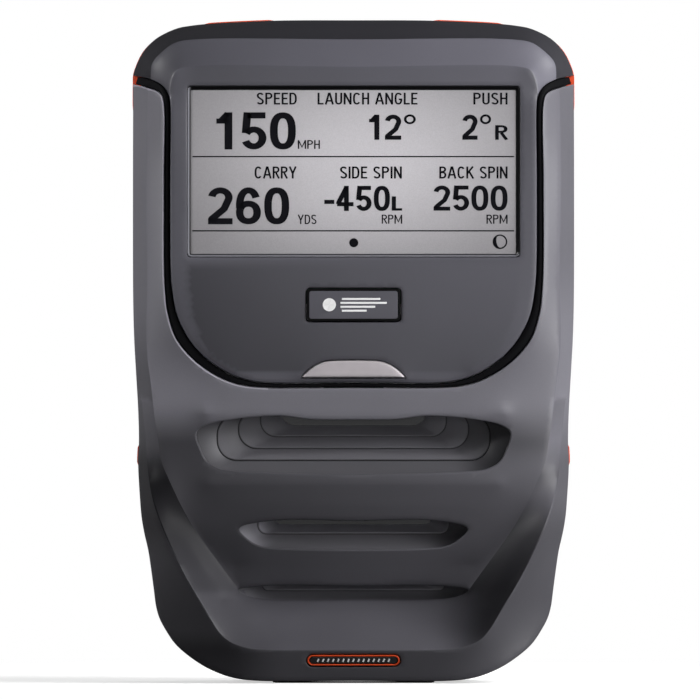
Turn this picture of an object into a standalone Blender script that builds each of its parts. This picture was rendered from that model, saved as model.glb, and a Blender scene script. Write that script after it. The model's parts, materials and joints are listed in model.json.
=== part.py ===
"""Camera-based golf launch monitor: a faceted front shell with a leaning display head, three baffled
camera slots over a scooped base, a rear shell, and the optics, boards and battery inside.

Frame: +Z up, the display faces -Y, right is +X, and the origin is on the ground under the middle
of the body.  Dimensions are millimetres, scaled to metres as each mesh is built.  The shells are
height fields: a plan outline in X-Z whose depth in Y is set along crease lines and relaxed
between them.
"""

import math

import bmesh
import bpy
import numpy as np
from mathutils import Vector
from mathutils.geometry import delaunay_2d_cdt

for old in list(bpy.data.objects):
    bpy.data.objects.remove(old)

# ---------------------------------------------------------------- body outline
# Right half, from the top centre round the shoulder to the flat base: x, z.
OUTLINE = [
    (0, 262.8), (21.3, 262.8), (33.2, 262.6), (56.3, 261.5), (65.0, 260.6), (70.4, 259.5),
    (78.6, 255.4), (83.7, 250.0), (86.5, 244.3), (87.5, 240.9), (87.6, 237.4), (87.7, 199.3),
    (87.6, 151.6), (87.2, 136.1), (86.5, 123.4), (85.6, 107.5), (85.3, 95.9), (85.6, 87.2),
    (84.9, 73.7), (84.2, 65.5), (83.1, 59.1), (81.5, 52.2), (80.5, 45.8), (79.3, 37.1),
    (78.3, 29.9), (77.0, 25.5), (75.1, 21.8), (71.0, 15.7), (66.6, 11.6), (59.1, 6.5),
    (52.0, 3.3), (45.7, 1.6), (37.4, 0.8), (0, 0.8)]
SPLIT = 9                  # index of the outline point where the head meets the groove

# ---------------------------------------------------------------- driving dimensions (mm)
MM = 0.001
TOP = OUTLINE[0][1]
FOOT = OUTLINE[-1][1]      # shell bottom above the ground
HALF_WIDTH = max(x for x, z in OUTLINE)
WALL = 2.5                 # shell wall
RIM = 2.4                  # wall thickness at the parting rim
RIM_REACH = RIM + 0.05     # points this near the outline belong to the rim
GAP = 0.3                  # clearance between fitted pieces
FRONT_RIM = -5.0           # parting plane of the front shell and head
REAR_RIM = -3.0            # parting plane of the rear shell
REAR = 55.0                # outer face of the rear wall
FACE_Y, FACE_Z = -44.0, 118.0   # a point on the display face, at its foot
FACE_SLOPE = 0.0656        # the display face leans back by this much per mm of height
LEAN = math.atan(FACE_SLOPE)
WHEEL_Y = 39.0             # axis of the rear levelling jack
WINDOW = 1.5               # thickness of the camera windows
BENCH = 3.0                # front face of the optical bench

# Rear screws: x, z.
SCREWS = {"screw_upper_left": (-54, 222), "screw_upper_right": (54, 222),
          "screw_lower_left": (-54, 44), "screw_lower_right": (54, 44)}

# ---------------------------------------------------------------- front creases: x, z, y
# Edge of the head along the groove, from the shoulder to the bottom centre.
# Where y is None the edge follows the display face.
HEAD_EDGE = [
    (87.5, 240.9, -9), (85.6, 240.5, -14), (80.5, 239.2, -25), (75.4, 236.3, -31.5),
    (73.2, 232.9, -35.2), (72.6, 229.7, None), (72.6, 199.3, None), (72.4, 163.9, None),
    (71.7, 154.9, None), (69.8, 145.4, None), (65.9, 137.3, None), (61.5, 131.5, None),
    (56.4, 127.0, None), (48.8, 122.3, None), (42.5, 120.1, None), (35.5, 118.9, None),
    (0, 118.9, None)]
# Edge of the front shell along the same groove.
SHELL_EDGE = [
    (87.6, 237.4, -9), (81.7, 235.7, -26), (76.7, 233.5, -32.5), (75.4, 230.4, -35),
    (75.2, 199.3, -37.2), (75.2, 163.9, -39.5), (74.8, 154.9, -40.2), (73.9, 146.8, -40.8),
    (71.0, 137.3, -41.6), (66.6, 130.9, -42.2), (59.6, 124.6, -43.0), (51.3, 119.8, -43.6),
    (43.7, 117.5, -43.9), (35.5, 116.7, -44), (0, 116.7, -44)]
# Creases of the head; the inner border is x, z only and lies on the display face.
CHAMFER = [(0, 255.0, -26), (62.6, 255.0, -26), (70.4, 253.8, -26), (75.4, 250.6, -25.7),
           (79.9, 245.5, -25.2), (80.5, 239.2, -25)]
FACE_TOP = [(0, 244.0, -35.7), (65.8, 244.0, -35.7), (70.6, 242.3, -35.8), (72.6, 237.5, -35.6),
            (73.2, 232.9, -35.2)]
INNER_BORDER = [(66.2, 166.7), (65.6, 155.6), (64.3, 145.4), (61.5, 137.3), (56.4, 128.9),
                (46.9, 123.0)]
# Crease of the side panel, which runs on into the edge of the inclined centre panel.
PANEL_CREASE = [
    (81.7, 235.7, -26), (82.4, 199.3, -31), (81.8, 163.9, -33), (82.1, 139.3, -34.5),
    (81.8, 129.7, -35), (80.2, 117.0, -35.5), (78.6, 103.0, -36.5), (77.4, 95.9, -37.3),
    (76.1, 87.6, -38.6), (73.5, 81.2, -39.8), (70.4, 74.5, -39.9), (68.5, 70.5, -39.3),
    (62.6, 60.1, -35.6), (54.0, 48.0, -30.8), (45.7, 36.5, -26)]
# Rim of the scoop, from the side of the body to the front lip of the base.
SCOOP_RIM = [
    (84.1, 111.8, -22), (82.5, 95.9, -28), (81.8, 86.4, -33), (80.5, 76.8, -38.5),
    (78.9, 70.1, -42), (75.4, 60.5, -46), (70.4, 49.8, -49.5), (65.4, 40.3, -52),
    (59.6, 30.7, -54), (53.9, 21.2, -55.5), (50.7, 17.6, -56), (46.9, 15.4, -56.3),
    (40.6, 13.6, -56.6), (34.8, 13.2, -56.8), (0, 13.2, -57)]
# Depth lines across the centre panel and the scoop floor, and down the scoop's side.
BROW = [(0, 107.0, -44.3), (60.0, 107.0, -43.9)]
PANEL_TOP = [(0, 79.0, -42.4), (58.0, 79.0, -41.6)]
PANEL_LINE = [(0, 70.0, -39.4), (60.0, 70.0, -38.6)]
PANEL_LOW = [(0, 46.0, -29.2), (48.0, 46.0, -28.6)]
FLOOR_LINE = [(0, 23.5, -37.5), (34.0, 23.5, -38.5), (46.0, 26.5, -42)]
SIDE_WALL = [(71.0, 66.0, -40.6), (61.0, 47.0, -38.6), (52.0, 33.0, -37)]

# Depth of each shell's outer edge by height: z, y.  Shallow at the sides, deep at the base.
FRONT_EDGE_DEPTH = [
    (0.8, -53), (3.3, -51.5), (6.5, -49.5), (11.6, -45), (15.7, -41), (21.8, -36), (29.9, -30),
    (45.8, -24), (65.5, -18), (87.2, -12.5), (107.5, -9), (300, -9)]
REAR_EDGE_DEPTH = [
    (0.8, 46), (3.3, 44), (6.5, 41), (11.6, 35), (15.7, 30), (21.8, 24), (29.9, 18),
    (45.8, 12), (65.5, 9), (300, 8)]

# ---------------------------------------------------------------- camera slots
# Right halves of the slots, top edge then bottom edge: x, z (and y for the lower slot).
SLOT_UPPER = [
    (0, 104.1), (17.3, 104.3), (28.4, 105.6), (38.0, 105.3), (47.5, 104.3), (57.9, 102.1),
    (62.1, 99.1), (60.4, 92.2), (57.9, 87.6), (53.5, 84.9), (47.5, 83.8), (0, 82.5)]
SLOT_MIDDLE = [
    (0, 64.0), (26.0, 64.4), (38.0, 63.3), (43.9, 62.0), (45.3, 60.7), (41.4, 56.4),
    (37.2, 54.2), (30.2, 53.2), (0, 52.6)]
SLOT_LOWER = [
    (0, 38.0, -26), (26.0, 38.3, -26), (36.4, 37.9, -26), (45.7, 36.5, -26),
    (43.6, 34.8, -25), (38.5, 33.3, -23), (31.0, 32.7, -21.5), (0, 32.7, -21)]
# Baffle rings of each hood: half width, bottom, top, depth behind the slot's rim.
RINGS_UPPER = [(54.3, 87.7, 106.2, 4.6), (45.9, 92.4, 108.0, 9.2),
               (37.1, 97.1, 110.5, 13.8), (29.0, 101.8, 114.0, 18.4)]
RINGS_MIDDLE = [(38.2, 58.5, 66.5, 5.0), (32.0, 62.6, 71.0, 10.4)]
RINGS_LOWER = [(36.5, 35.9, 41.5, 2.4), (31.0, 38.6, 46.5, 4.6)]
# Label, slot, rings, lens height, extra setback of the hood's mouth.
CAMERAS = [("upper", SLOT_UPPER, RINGS_UPPER, 107.9, 0.0),
           ("middle", SLOT_MIDDLE, RINGS_MIDDLE, 66.8, 0.0),
           ("lower", SLOT_LOWER, RINGS_LOWER, 42.6, 0.9)]


# ---------------------------------------------------------------- materials
def material(name, colour, roughness, metallic=0.0, transmission=0.0):
    mat = bpy.data.materials.new(name)
    mat.use_nodes = True
    shader = mat.node_tree.nodes["Principled BSDF"]
    shader.inputs["Base Color"].default_value = (*colour, 1)
    shader.inputs["Roughness"].default_value = roughness
    shader.inputs["Metallic"].default_value = metallic
    shader.inputs["Transmission Weight"].default_value = transmission
    mat.diffuse_color = (*colour, 1)
    return mat


SHELL_GREY = material("shell_grey", colour=(0.085, 0.083, 0.095), roughness=0.5)
HEAD_GREY = material("head_grey", colour=(0.055, 0.053, 0.066), roughness=0.48)
RUBBER = material("black_rubber", colour=(0.006, 0.006, 0.007), roughness=0.7)
ORANGE = material("accent_orange", colour=(0.80, 0.09, 0.02), roughness=0.4)
SCREEN = material("screen", colour=(0.42, 0.41, 0.44), roughness=0.35)
CLEAR = material("clear_plastic", colour=(0.8, 0.8, 0.8), roughness=0.1, transmission=0.9)
SILVER = material("silver_button", colour=(0.60, 0.58, 0.59), roughness=0.3, metallic=0.7)
BADGE_GREY = material("badge_grey", colour=(0.07, 0.07, 0.08), roughness=0.4)
CIRCUIT = material("circuit_board", colour=(0.01, 0.09, 0.04), roughness=0.5)
ALUMINIUM = material("aluminium", colour=(0.55, 0.55, 0.56), roughness=0.35, metallic=1.0)
STEEL = material("steel", colour=(0.35, 0.35, 0.36), roughness=0.3, metallic=1.0)
DARK = material("dark_plastic", colour=(0.02, 0.02, 0.022), roughness=0.55)
WRAP = material("battery_wrap", colour=(0.03, 0.05, 0.10), roughness=0.45)


# ---------------------------------------------------------------- plane geometry
def mirrored(line):
    """The line's mirror image on the other side, run through backwards."""
    return [(-p[0], *p[1:]) for p in reversed(line)]


def full(half):
    """A closed loop, anticlockwise seen from the front, from a right half run top to bottom."""
    loop = half + [p for p in mirrored(half) if p[0] < -1e-6]
    return loop[::-1]


def closed(half):
    """The same loop as a line that returns to its first point."""
    loop = full(half)
    return loop + loop[:1]


def both(line):
    """A line and its mirror image, joined into one if it starts or ends on the middle."""
    if abs(line[0][0]) < 1e-6:
        return [mirrored(line) + line[1:]]
    if abs(line[-1][0]) < 1e-6:
        return [line + mirrored(line)[1:]]
    return [line, mirrored(line)[::-1]]


def inside(loop, x, z):
    hit = False
    for (x0, z0), (x1, z1) in zip(loop, loop[1:] + loop[:1]):
        if (z0 > z) != (z1 > z) and x < (x1 - x0) * (z - z0) / (z1 - z0) + x0:
            hit = not hit
    return hit


def nearest(line, x, z):
    """Distance to a polyline, and the nearest place along it as segment, fraction."""
    best = (1e9, 0, 0.0)
    for i, (a, b) in enumerate(zip(line, line[1:])):
        dx, dz = b[0] - a[0], b[1] - a[1]
        square = dx * dx + dz * dz
        f = 0.0
        if square:
            f = max(0.0, min(1.0, ((x - a[0]) * dx + (z - a[1]) * dz) / square))
        gap = math.hypot(x - a[0] - f * dx, z - a[1] - f * dz)
        if gap < best[0]:
            best = (gap, i, f)
    return best


def rounded(x0, x1, z0, z1, radius, steps=2):
    """A rounded rectangle, anticlockwise seen from the front."""
    corners = ((x1 - radius, z0 + radius, -90), (x1 - radius, z1 - radius, 0),
               (x0 + radius, z1 - radius, 90), (x0 + radius, z0 + radius, 180))
    loop = []
    for cx, cz, start in corners:
        for k in range(steps + 1):
            angle = math.radians(start + 90 * k / steps)
            loop.append((cx + radius * math.cos(angle), cz + radius * math.sin(angle)))
    return loop


def circle(cx, cz, radius, n):
    angles = [2 * math.pi * k / n for k in range(n)]
    return [(cx + radius * math.cos(a), cz + radius * math.sin(a)) for a in angles]


def between(p, q, f):
    return tuple(u + (v - u) * f for u, v in zip(p, q))


def along(line, count):
    """count + 1 points spaced evenly in plan along a polyline."""
    run = [0.0]
    for a, b in zip(line, line[1:]):
        run.append(run[-1] + math.hypot(b[0] - a[0], b[1] - a[1]))
    out, i = [], 0
    for k in range(count + 1):
        want = run[-1] * k / count
        while i < len(run) - 2 and run[i + 1] < want:
            i += 1
        out.append(between(line[i], line[i + 1], (want - run[i]) / (run[i + 1] - run[i])))
    return out


def even(loop, count):
    """count points (x, z) evenly along a closed loop, from its lowest point on the middle."""
    flat = [(p[0], p[1]) for p in loop]
    start = min(range(len(flat)), key=lambda i: (abs(flat[i][0]) > 1e-3, flat[i][1]))
    return along(flat[start:] + flat[:start + 1], count)[:-1]


def inset(line, d):
    """A line that runs clockwise seen from the front, moved inwards by d."""
    out = []
    for i, p in enumerate(line):
        a, b = line[max(0, i - 1)], line[min(len(line) - 1, i + 1)]
        tx, tz = b[0] - a[0], b[1] - a[1]
        length = math.hypot(tx, tz)
        out.append((p[0] + tz / length * d, p[1] - tx / length * d))
    return out


def spread(loop, d):
    """A convex loop moved outwards by d."""
    out = []
    for i, p in enumerate(loop):
        a, b = loop[i - 1], loop[(i + 1) % len(loop)]
        t0 = Vector((p[0] - a[0], p[1] - a[1])).normalized()
        t1 = Vector((b[0] - p[0], b[1] - p[1])).normalized()
        n = Vector((t0.y + t1.y, -t0.x - t1.x)).normalized()
        k = d / max(0.4, n.dot(Vector((t0.y, -t0.x))))
        out.append((p[0] + n.x * k, p[1] + n.y * k))
    return out


def depth_at(table, z):
    """Depth at a height, between the rows of a table of z, y."""
    for (z0, y0), (z1, y1) in zip(table, table[1:]):
        if z <= z1:
            return y0 + (y1 - y0) * (z - z0) / (z1 - z0)
    return table[-1][1]


# ---------------------------------------------------------------- sheets and slabs
def relax(coords, faces, fixed):
    """Depths of the free points: the smoothest sheet through the fixed ones (cotangent weights)."""
    n = len(coords)
    weight = np.zeros((n, n))
    p = np.array([(c[0], c[1]) for c in coords], float)
    for tri in faces:
        for k in range(3):
            i, j, o = tri[k], tri[(k + 1) % 3], tri[(k + 2) % 3]
            u, v = p[i] - p[o], p[j] - p[o]
            cross = abs(u[0] * v[1] - u[1] * v[0])
            w = max(0.02, 0.5 * float(u @ v) / max(cross, 1e-9))
            weight[i, j] += w
            weight[j, i] += w
    laplacian = np.diag(weight.sum(1)) - weight
    known = sorted(fixed)
    free = [i for i in range(n) if i not in fixed]
    y = np.zeros(n)
    y[known] = [fixed[i] for i in known]
    if free:
        pull = -laplacian[np.ix_(free, known)] @ y[known]
        y[free] = np.linalg.solve(laplacian[np.ix_(free, free)] + 1e-9 * np.eye(len(free)), pull)
    return [float(v) for v in y]


def sheet(outline, lines=(), holes=(), step=0.0):
    """Triangulates an outline with crease lines and holes and relaxes the depths.

    outline: loop of (x, z, y); lines: polylines of (x, z[, y]); holes: loops of (x, z[, y]);
    step: spacing of extra points inside, or 0 for none.
    Returns the points (x, z), their depths, the triangles outside the holes, which are
    anticlockwise seen from the front, and all the triangles with the holes filled."""
    plan, depths, edges, chains = [], [], [], []

    def add_chain(points, is_loop):
        ids = range(len(plan), len(plan) + len(points))
        plan.extend(Vector((p[0], p[1])) for p in points)
        depths.extend(p[2] if len(p) > 2 else None for p in points)
        edges.extend(zip(ids, ids[1:]))
        if is_loop:
            edges.append((ids[-1], ids[0]))
        chains.append(list(points) + ([points[0]] if is_loop else []))

    add_chain(outline, True)
    for line in lines:
        add_chain(line, False)
    for hole in holes:
        add_chain(hole, True)

    border = [(p[0], p[1]) for p in outline]
    if step:
        left, low = (min(p[k] for p in border) for k in (0, 1))
        width = max(p[0] for p in border) - left
        height = max(p[1] for p in border) - low
        nx, nz = int(width / step), int(height / step)
        for i in range(1, nx):
            for j in range(1, nz):
                x, z = left + width * i / nx, low + height * j / nz
                if inside(border, x, z) and all(nearest(c, x, z)[0] > step * 0.45 for c in chains):
                    plan.append(Vector((x, z)))
                    depths.append(None)
    coords, _, faces, origin, _, _ = delaunay_2d_cdt(plan, edges, [], 0, 1e-4, True)

    # A point takes the depth it was given; one made where lines cross takes it from its line.
    fixed = {}
    for i, source in enumerate(origin):
        values = [depths[s] for s in source if depths[s] is not None]
        if values:
            fixed[i] = values[0]
        elif not source:
            for c in chains:
                d, k, f = nearest(c, coords[i].x, coords[i].y)
                if d < 1e-3 and len(c[k]) > 2 and c[k][2] is not None and c[k + 1][2] is not None:
                    fixed[i] = c[k][2] + (c[k + 1][2] - c[k][2]) * f
                    break

    def centre(face):
        return sum(coords[i].x for i in face) / 3, sum(coords[i].y for i in face) / 3

    filled = [tuple(f) for f in faces if inside(border, *centre(f))]
    y = relax(coords, filled, fixed)
    hole_loops = [[(p[0], p[1]) for p in hole] for hole in holes]
    turned = []
    for face in filled:
        if any(inside(loop, *centre(face)) for loop in hole_loops):
            continue
        a, b, c = face
        u, v = coords[b] - coords[a], coords[c] - coords[a]
        turned.append((a, b, c) if u.x * v.y - v.x * u.y > 0 else (a, c, b))
    return [(c.x, c.y) for c in coords], y, turned, filled


def slab(points, front, back, faces, flip=False):
    """Closes a sheet into a solid between two depths per point; flip turns it to face the rear."""
    used = sorted({i for f in faces for i in f})
    index = {v: k for k, v in enumerate(used)}
    n = len(used)
    verts = [(points[i][0], front[i], points[i][1]) for i in used]
    verts += [(points[i][0], back[i], points[i][1]) for i in used]
    out, sides = [], {}
    for face in faces:
        a, b, c = (index[i] for i in face)
        out.append((a, b, c))
        out.append((c + n, b + n, a + n))
        for side in ((a, b), (b, c), (c, a)):
            sides[side] = True
    for a, b in sides:
        if (b, a) not in sides:
            out.append((b, a, a + n))
            out.append((b, a + n, b + n))
    if flip:
        verts = [(x, -y, z) for x, y, z in verts]
        out = [tuple(reversed(f)) for f in out]
    return verts, out


def inner_depths(points, depths, edge, rim_y, rim_above=0.0):
    """Depths of a shell's inner side: a wall behind its outer side, the parting plane at the rim."""
    out = []
    for p, y in zip(points, depths):
        on_rim = nearest(edge, p[0], p[1])[0] < RIM_REACH and p[1] > rim_above
        out.append(rim_y if on_rim else min(rim_y, y + WALL))
    return out


# ---------------------------------------------------------------- objects
def add(name, verts, faces, mat, parent=None, sharp=30):
    mesh = bpy.data.meshes.new(name)
    mesh.from_pydata([(x * MM, y * MM, z * MM) for x, y, z in verts], [], faces)
    mesh.materials.append(mat)
    mesh.shade_smooth()
    mesh.set_sharp_from_angle(angle=math.radians(sharp))
    obj = bpy.data.objects.new(name, mesh)
    bpy.context.collection.objects.link(obj)
    if parent is not None:
        obj.parent = parent
    return obj


def frame(name, y, z, tilt):
    """An empty on the middle plane, tilted about X, to carry pieces on a leaning face."""
    empty = bpy.data.objects.new(name, None)
    bpy.context.collection.objects.link(empty)
    empty.location = (0, y * MM, z * MM)
    empty.rotation_euler = (tilt, 0, 0)
    return empty


def move_to(obj, x, y, z):
    """Puts the object's origin at a point and leaves its surface where it is."""
    at = Vector((x * MM, y * MM, z * MM))
    for v in obj.data.vertices:
        v.co -= at
    obj.location = at


def face_outwards(obj):
    bm = bmesh.new()
    bm.from_mesh(obj.data)
    bmesh.ops.recalc_face_normals(bm, faces=list(bm.faces))
    bm.to_mesh(obj.data)
    bm.free()


def take_mesh(bm):
    """The vertices and faces of a bmesh, which is freed."""
    verts = [tuple(v.co) for v in bm.verts]
    faces = [tuple(v.index for v in f.verts) for f in bm.faces]
    bm.free()
    return verts, faces


def plate(name, loop, y, mat, holes=(), parent=None):
    """A flat plate with this outline in X-Z between the two depths y."""
    front, back = y
    points, _, faces, _ = sheet([(*p, front) for p in loop], (), holes)
    verts, out = slab(points, [front] * len(points), [back] * len(points), faces)
    return add(name, verts, out, mat, parent)


def block(name, x, y, z, mat, bevel=0.6, parent=None):
    """A box from its three ranges, with chamfered edges."""
    bm = bmesh.new()
    bmesh.ops.create_cube(bm, size=1.0)
    for v in bm.verts:
        v.co = Vector([(low + high) / 2 + c * (high - low) for c, (low, high) in zip(v.co, (x, y, z))])
    if bevel:
        bmesh.ops.bevel(bm, geom=list(bm.edges), offset=bevel, segments=1,
                        affect="EDGES", profile=0.5)
    return add(name, *take_mesh(bm), mat, parent)


def rod(radius, start, end):
    """The lathe profile of a plain cylinder."""
    return [(0, start), (radius, start), (radius, end), (0, end)]


def lathe(name, profile, mat, at, n, axis="y"):
    """Turns a closed profile of (radius, along) about an axis; a radius of 0 closes on the axis."""
    rings, verts = [], []
    for r, a in profile:
        if r < 1e-6:
            rings.append([len(verts)])
            verts.append((0.0, 0.0, a))
        else:
            rings.append(list(range(len(verts), len(verts) + n)))
            angles = [2 * math.pi * k / n for k in range(n)]
            verts += [(r * math.cos(t), r * math.sin(t), a) for t in angles]
    faces = []
    for p, q in zip(rings, rings[1:] + rings[:1]):
        if len(p) == 1 and len(q) == 1:
            continue
        for k in range(n):
            m = (k + 1) % n
            if len(p) == 1:
                faces.append((p[0], q[m], q[k]))
            elif len(q) == 1:
                faces.append((p[k], p[m], q[0]))
            else:
                faces.append((p[k], p[m], q[m], q[k]))
    if axis == "y":
        verts = [(x, z, -y) for x, y, z in verts]
    elif axis == "x":
        verts = [(z, x, y) for x, y, z in verts]
    bm = bmesh.new()
    made = [bm.verts.new((x + at[0], y + at[1], z + at[2])) for x, y, z in verts]
    for f in faces:
        bm.faces.new([made[i] for i in f])
    bmesh.ops.recalc_face_normals(bm, faces=list(bm.faces))
    bm.verts.index_update()
    return add(name, *take_mesh(bm), mat)


def boolean(obj, other, how):
    """Cuts or joins with the exact solver, applies it and removes the other object."""
    mod = obj.modifiers.new(how.lower(), "BOOLEAN")
    mod.operation = how
    mod.object = other
    mod.solver = "EXACT"
    graph = bpy.context.evaluated_depsgraph_get()
    mesh = bpy.data.meshes.new_from_object(obj.evaluated_get(graph))
    obj.modifiers.clear()
    obj.data = mesh
    bpy.data.objects.remove(other)


# ---------------------------------------------------------------- front shell
BASE_BADGE_HOLE_Z = (6.5, 11.4)
BASE_BAND = 5.6            # second line round the wall, under the base only
BASE_BAND_HALF_WIDTH = 60


def wall_line(edge, d, half_width=math.inf):
    """An edge that ends at the bottom centre, moved inwards by d."""
    return [p for p in inset(edge, d)[1:] if 0 < p[0] < half_width] + [(0.0, FOOT + d)]


front_outline = [(x, z, depth_at(FRONT_EDGE_DEPTH, z)) for x, z in OUTLINE]
side_edge = front_outline[SPLIT + 1:]
lines = []
for line in (PANEL_CREASE, SCOOP_RIM, BROW, PANEL_TOP, PANEL_LINE, PANEL_LOW, FLOOR_LINE,
             SIDE_WALL, wall_line(side_edge, RIM),
             wall_line(side_edge, BASE_BAND, BASE_BAND_HALF_WIDTH)):
    lines += both(line)
holes = [full(slot) for slot in (SLOT_UPPER, SLOT_MIDDLE, SLOT_LOWER)]
holes.append(rounded(-18.6, 18.6, *BASE_BADGE_HOLE_Z, 2.4, 3))
shell_points, shell_depths, faces, shell_filled = sheet(
    full(SHELL_EDGE[::-1] + side_edge[1:]), lines, holes, step=11.0)
back = inner_depths(shell_points, shell_depths, both(side_edge)[0], FRONT_RIM)
add("front_shell", *slab(shell_points, shell_depths, back, faces), SHELL_GREY, sharp=18)


def surface_at(x, z):
    """Depth of the front shell's outer surface, also across its slots."""
    best_miss, best_y = 1e9, 0.0
    for i, j, k in shell_filled:
        (ax, az), (bx, bz), (cx, cz) = shell_points[i], shell_points[j], shell_points[k]
        area = (bx - ax) * (cz - az) - (cx - ax) * (bz - az)
        if abs(area) < 1e-9:
            continue
        u = ((bx - x) * (cz - z) - (cx - x) * (bz - z)) / area
        v = ((cx - x) * (az - z) - (ax - x) * (cz - z)) / area
        w = 1 - u - v
        miss = -min(u, v, w, 0.0)
        if miss < best_miss:
            best_miss = miss
            best_y = u * shell_depths[i] + v * shell_depths[j] + w * shell_depths[k]
            if miss <= 1e-9:
                break
    return best_y


# ---------------------------------------------------------------- display head
# Right half of the select button, low to high: x, z.
BUTTON_HALF = [(20.4, 120.9), (19.0, 122.4), (15.5, 125.2), (12.5, 126.6), (9.8, 127.2)]
RIM_LINE_END = 85.5        # the head's rim line stops short of the groove at this x
HEAD_RIM_Z = 236           # only points above this belong to the head's parting rim


def face_y(z):
    return FACE_Y + FACE_SLOPE * (z - FACE_Z)


def edge_drop(z):
    """How far the edge of the display face falls back along the groove."""
    return max(0.0, min(1.0, (215 - z) / 60.0))


def on_face(loop):
    return [(x, z, face_y(z)) for x, z in loop]


head_edge = [(x, z, face_y(z) + edge_drop(z) if y is None else y) for x, z, y in HEAD_EDGE]
top_edge = OUTLINE[:SPLIT + 1]
button = BUTTON_HALF + mirrored(BUTTON_HALF)
rim_line = [(0.0, TOP - RIM)] + [p for p in inset(top_edge, RIM) if 0 < p[0] < RIM_LINE_END]
lines = []
for line in (CHAMFER, FACE_TOP, on_face(INNER_BORDER), rim_line):
    lines += both(line)
lcd_hole = rounded(-65.9, 65.9, 168.5, 236.4, 1.3)
badge_hole = rounded(-19.0, 19.0, 142.6, 156.5, 1.3)
holes = [on_face(loop) for loop in (lcd_hole, badge_hole, spread(button, 0.4))]
points, depths, faces, _ = sheet(full(front_outline[:SPLIT] + head_edge), lines, holes, step=12.0)
back = inner_depths(points, depths, both(top_edge)[0], FRONT_RIM, HEAD_RIM_Z)
add("display_bezel", *slab(points, depths, back, faces), HEAD_GREY, sharp=18)

# ---------------------------------------------------------------- pieces on the display face
# These lie in the frame of the leaning face: y = 0 is the face and +y runs into the body.
head_frame = frame("head_frame", FACE_Y, FACE_Z, -LEAN)


def up(z):
    """Height on the display face as a distance along it from the head frame."""
    return (z - FACE_Z) / math.cos(LEAN)


def face_rectangle(half_width, z0, z1, radius):
    return rounded(-half_width, half_width, up(z0), up(z1), radius)


def face_plate(name, loop, y, mat, holes=()):
    return plate(name, loop, y, mat, holes, head_frame)


face_plate("display_seal", face_rectangle(65.6, 168.9, 236.0, 1.2), (0.5, 2.2), RUBBER,
           [face_rectangle(64.5, 169.9, 235.1, 0.8)])
face_plate("display_window", face_rectangle(64.2, 170.2, 234.8, 0.6), (0.9, 1.9), SCREEN)
block("lcd_panel", x=(-67, 67), y=(2.9, 4.3), z=(up(167), up(238)),
      mat=DARK, bevel=0.3, parent=head_frame)
block("lcd_backlight", x=(-66, 66), y=(4.6, 8.0), z=(up(166), up(237)),
      mat=ALUMINIUM, bevel=0.4, parent=head_frame)

# Blank badge: a face in the head's opening, with a flange behind the wall.
badge = face_plate("badge_plate", face_rectangle(18.7, 142.9, 156.2, 1.2), (-0.5, 3.4), BADGE_GREY)
flange = face_plate("flange", face_rectangle(21, 141, 158, 1.5), (3.0, 4.4), BADGE_GREY)
boolean(badge, flange, "UNION")

# Select button: its cap, a retaining flange behind the wall, and the switch it presses.
cap = [(x, up(z)) for x, z in button]
select_button = face_plate("select_button", cap, (-0.8, 5.6), SILVER)
flange = face_plate("flange", spread(cap, 1.1), (3.9, 5.1), SILVER)
boolean(select_button, flange, "UNION")
select_switch = face_plate("select_switch", circle(0, up(124), 2.2, 12), (6.9, 9.2), DARK)
switch_base = face_plate("base", face_rectangle(8, 120.6, 127.6, 0.8), (8.7, 11.2), DARK)
boolean(select_switch, switch_base, "UNION")

# ---------------------------------------------------------------- gasket between head and shell
GASKET_CLEARANCE = 0.34    # from each side of the groove
GASKET_SETBACK = 0.9       # behind the deeper side of the groove
GASKET_DEPTH = 4

# Opposite points of the groove: one on the head, the nearest one on the shell.
half = []
for p in head_edge:
    if p[0] < 86.5:
        _, i, f = nearest(SHELL_EDGE, p[0], p[1])
        half.append((p, between(SHELL_EDGE[i], SHELL_EDGE[i + 1], f)))
stations = half + [((-a[0], *a[1:]), (-b[0], *b[1:])) for a, b in reversed(half) if a[0] > 1e-6]
verts, faces = [], []
for a, b in stations:
    f = GASKET_CLEARANCE / math.hypot(b[0] - a[0], b[1] - a[1])
    front = max(a[2], b[2]) + GASKET_SETBACK
    ax, az = between(a[:2], b[:2], f)
    bx, bz = between(b[:2], a[:2], f)
    verts += [(ax, front, az), (bx, front, bz),
              (bx, front + GASKET_DEPTH, bz), (ax, front + GASKET_DEPTH, az)]
last = 4 * len(stations) - 4
for i in range(0, last, 4):
    for k in range(4):
        j = (k + 1) % 4
        faces.append((i + k, i + 4 + k, i + 4 + j, i + j))
faces += [(3, 2, 1, 0), (last, last + 1, last + 2, last + 3)]
face_outwards(add("bezel_gasket", verts, faces, RUBBER))

# ---------------------------------------------------------------- trim ring on the parting plane
RING_WIDTH = 3.2           # how far the ring reaches inside the outline


def accent(x, z):
    """How far the ring stands proud of the shells."""
    if z > 255 and 31 < x < 60:
        return 0.42
    if z > 165 and x > 60:
        return 0.22
    if 86 < z < 94:
        return 0.42
    return -0.15


def end_on_middle(line):
    return [(0.0, line[0][1])] + line[1:-1] + [(0.0, line[-1][1])]


fine = along(OUTLINE, 48)
ring_out, ring_in = [], []
for (x, z), (out_x, out_z) in zip(fine, inset(fine, -1.0)):
    nx, nz = out_x - x, out_z - z
    proud = accent(x, z)
    ring_out.append((max(0.0, x + nx * proud), z + nz * proud))
    ring_in.append((max(0.0, x - nx * RING_WIDTH), z - nz * RING_WIDTH))
plate("trim_ring", full(end_on_middle(ring_out)), (FRONT_RIM + GAP, REAR_RIM - GAP), ORANGE,
      [full(end_on_middle(ring_in))])

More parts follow.
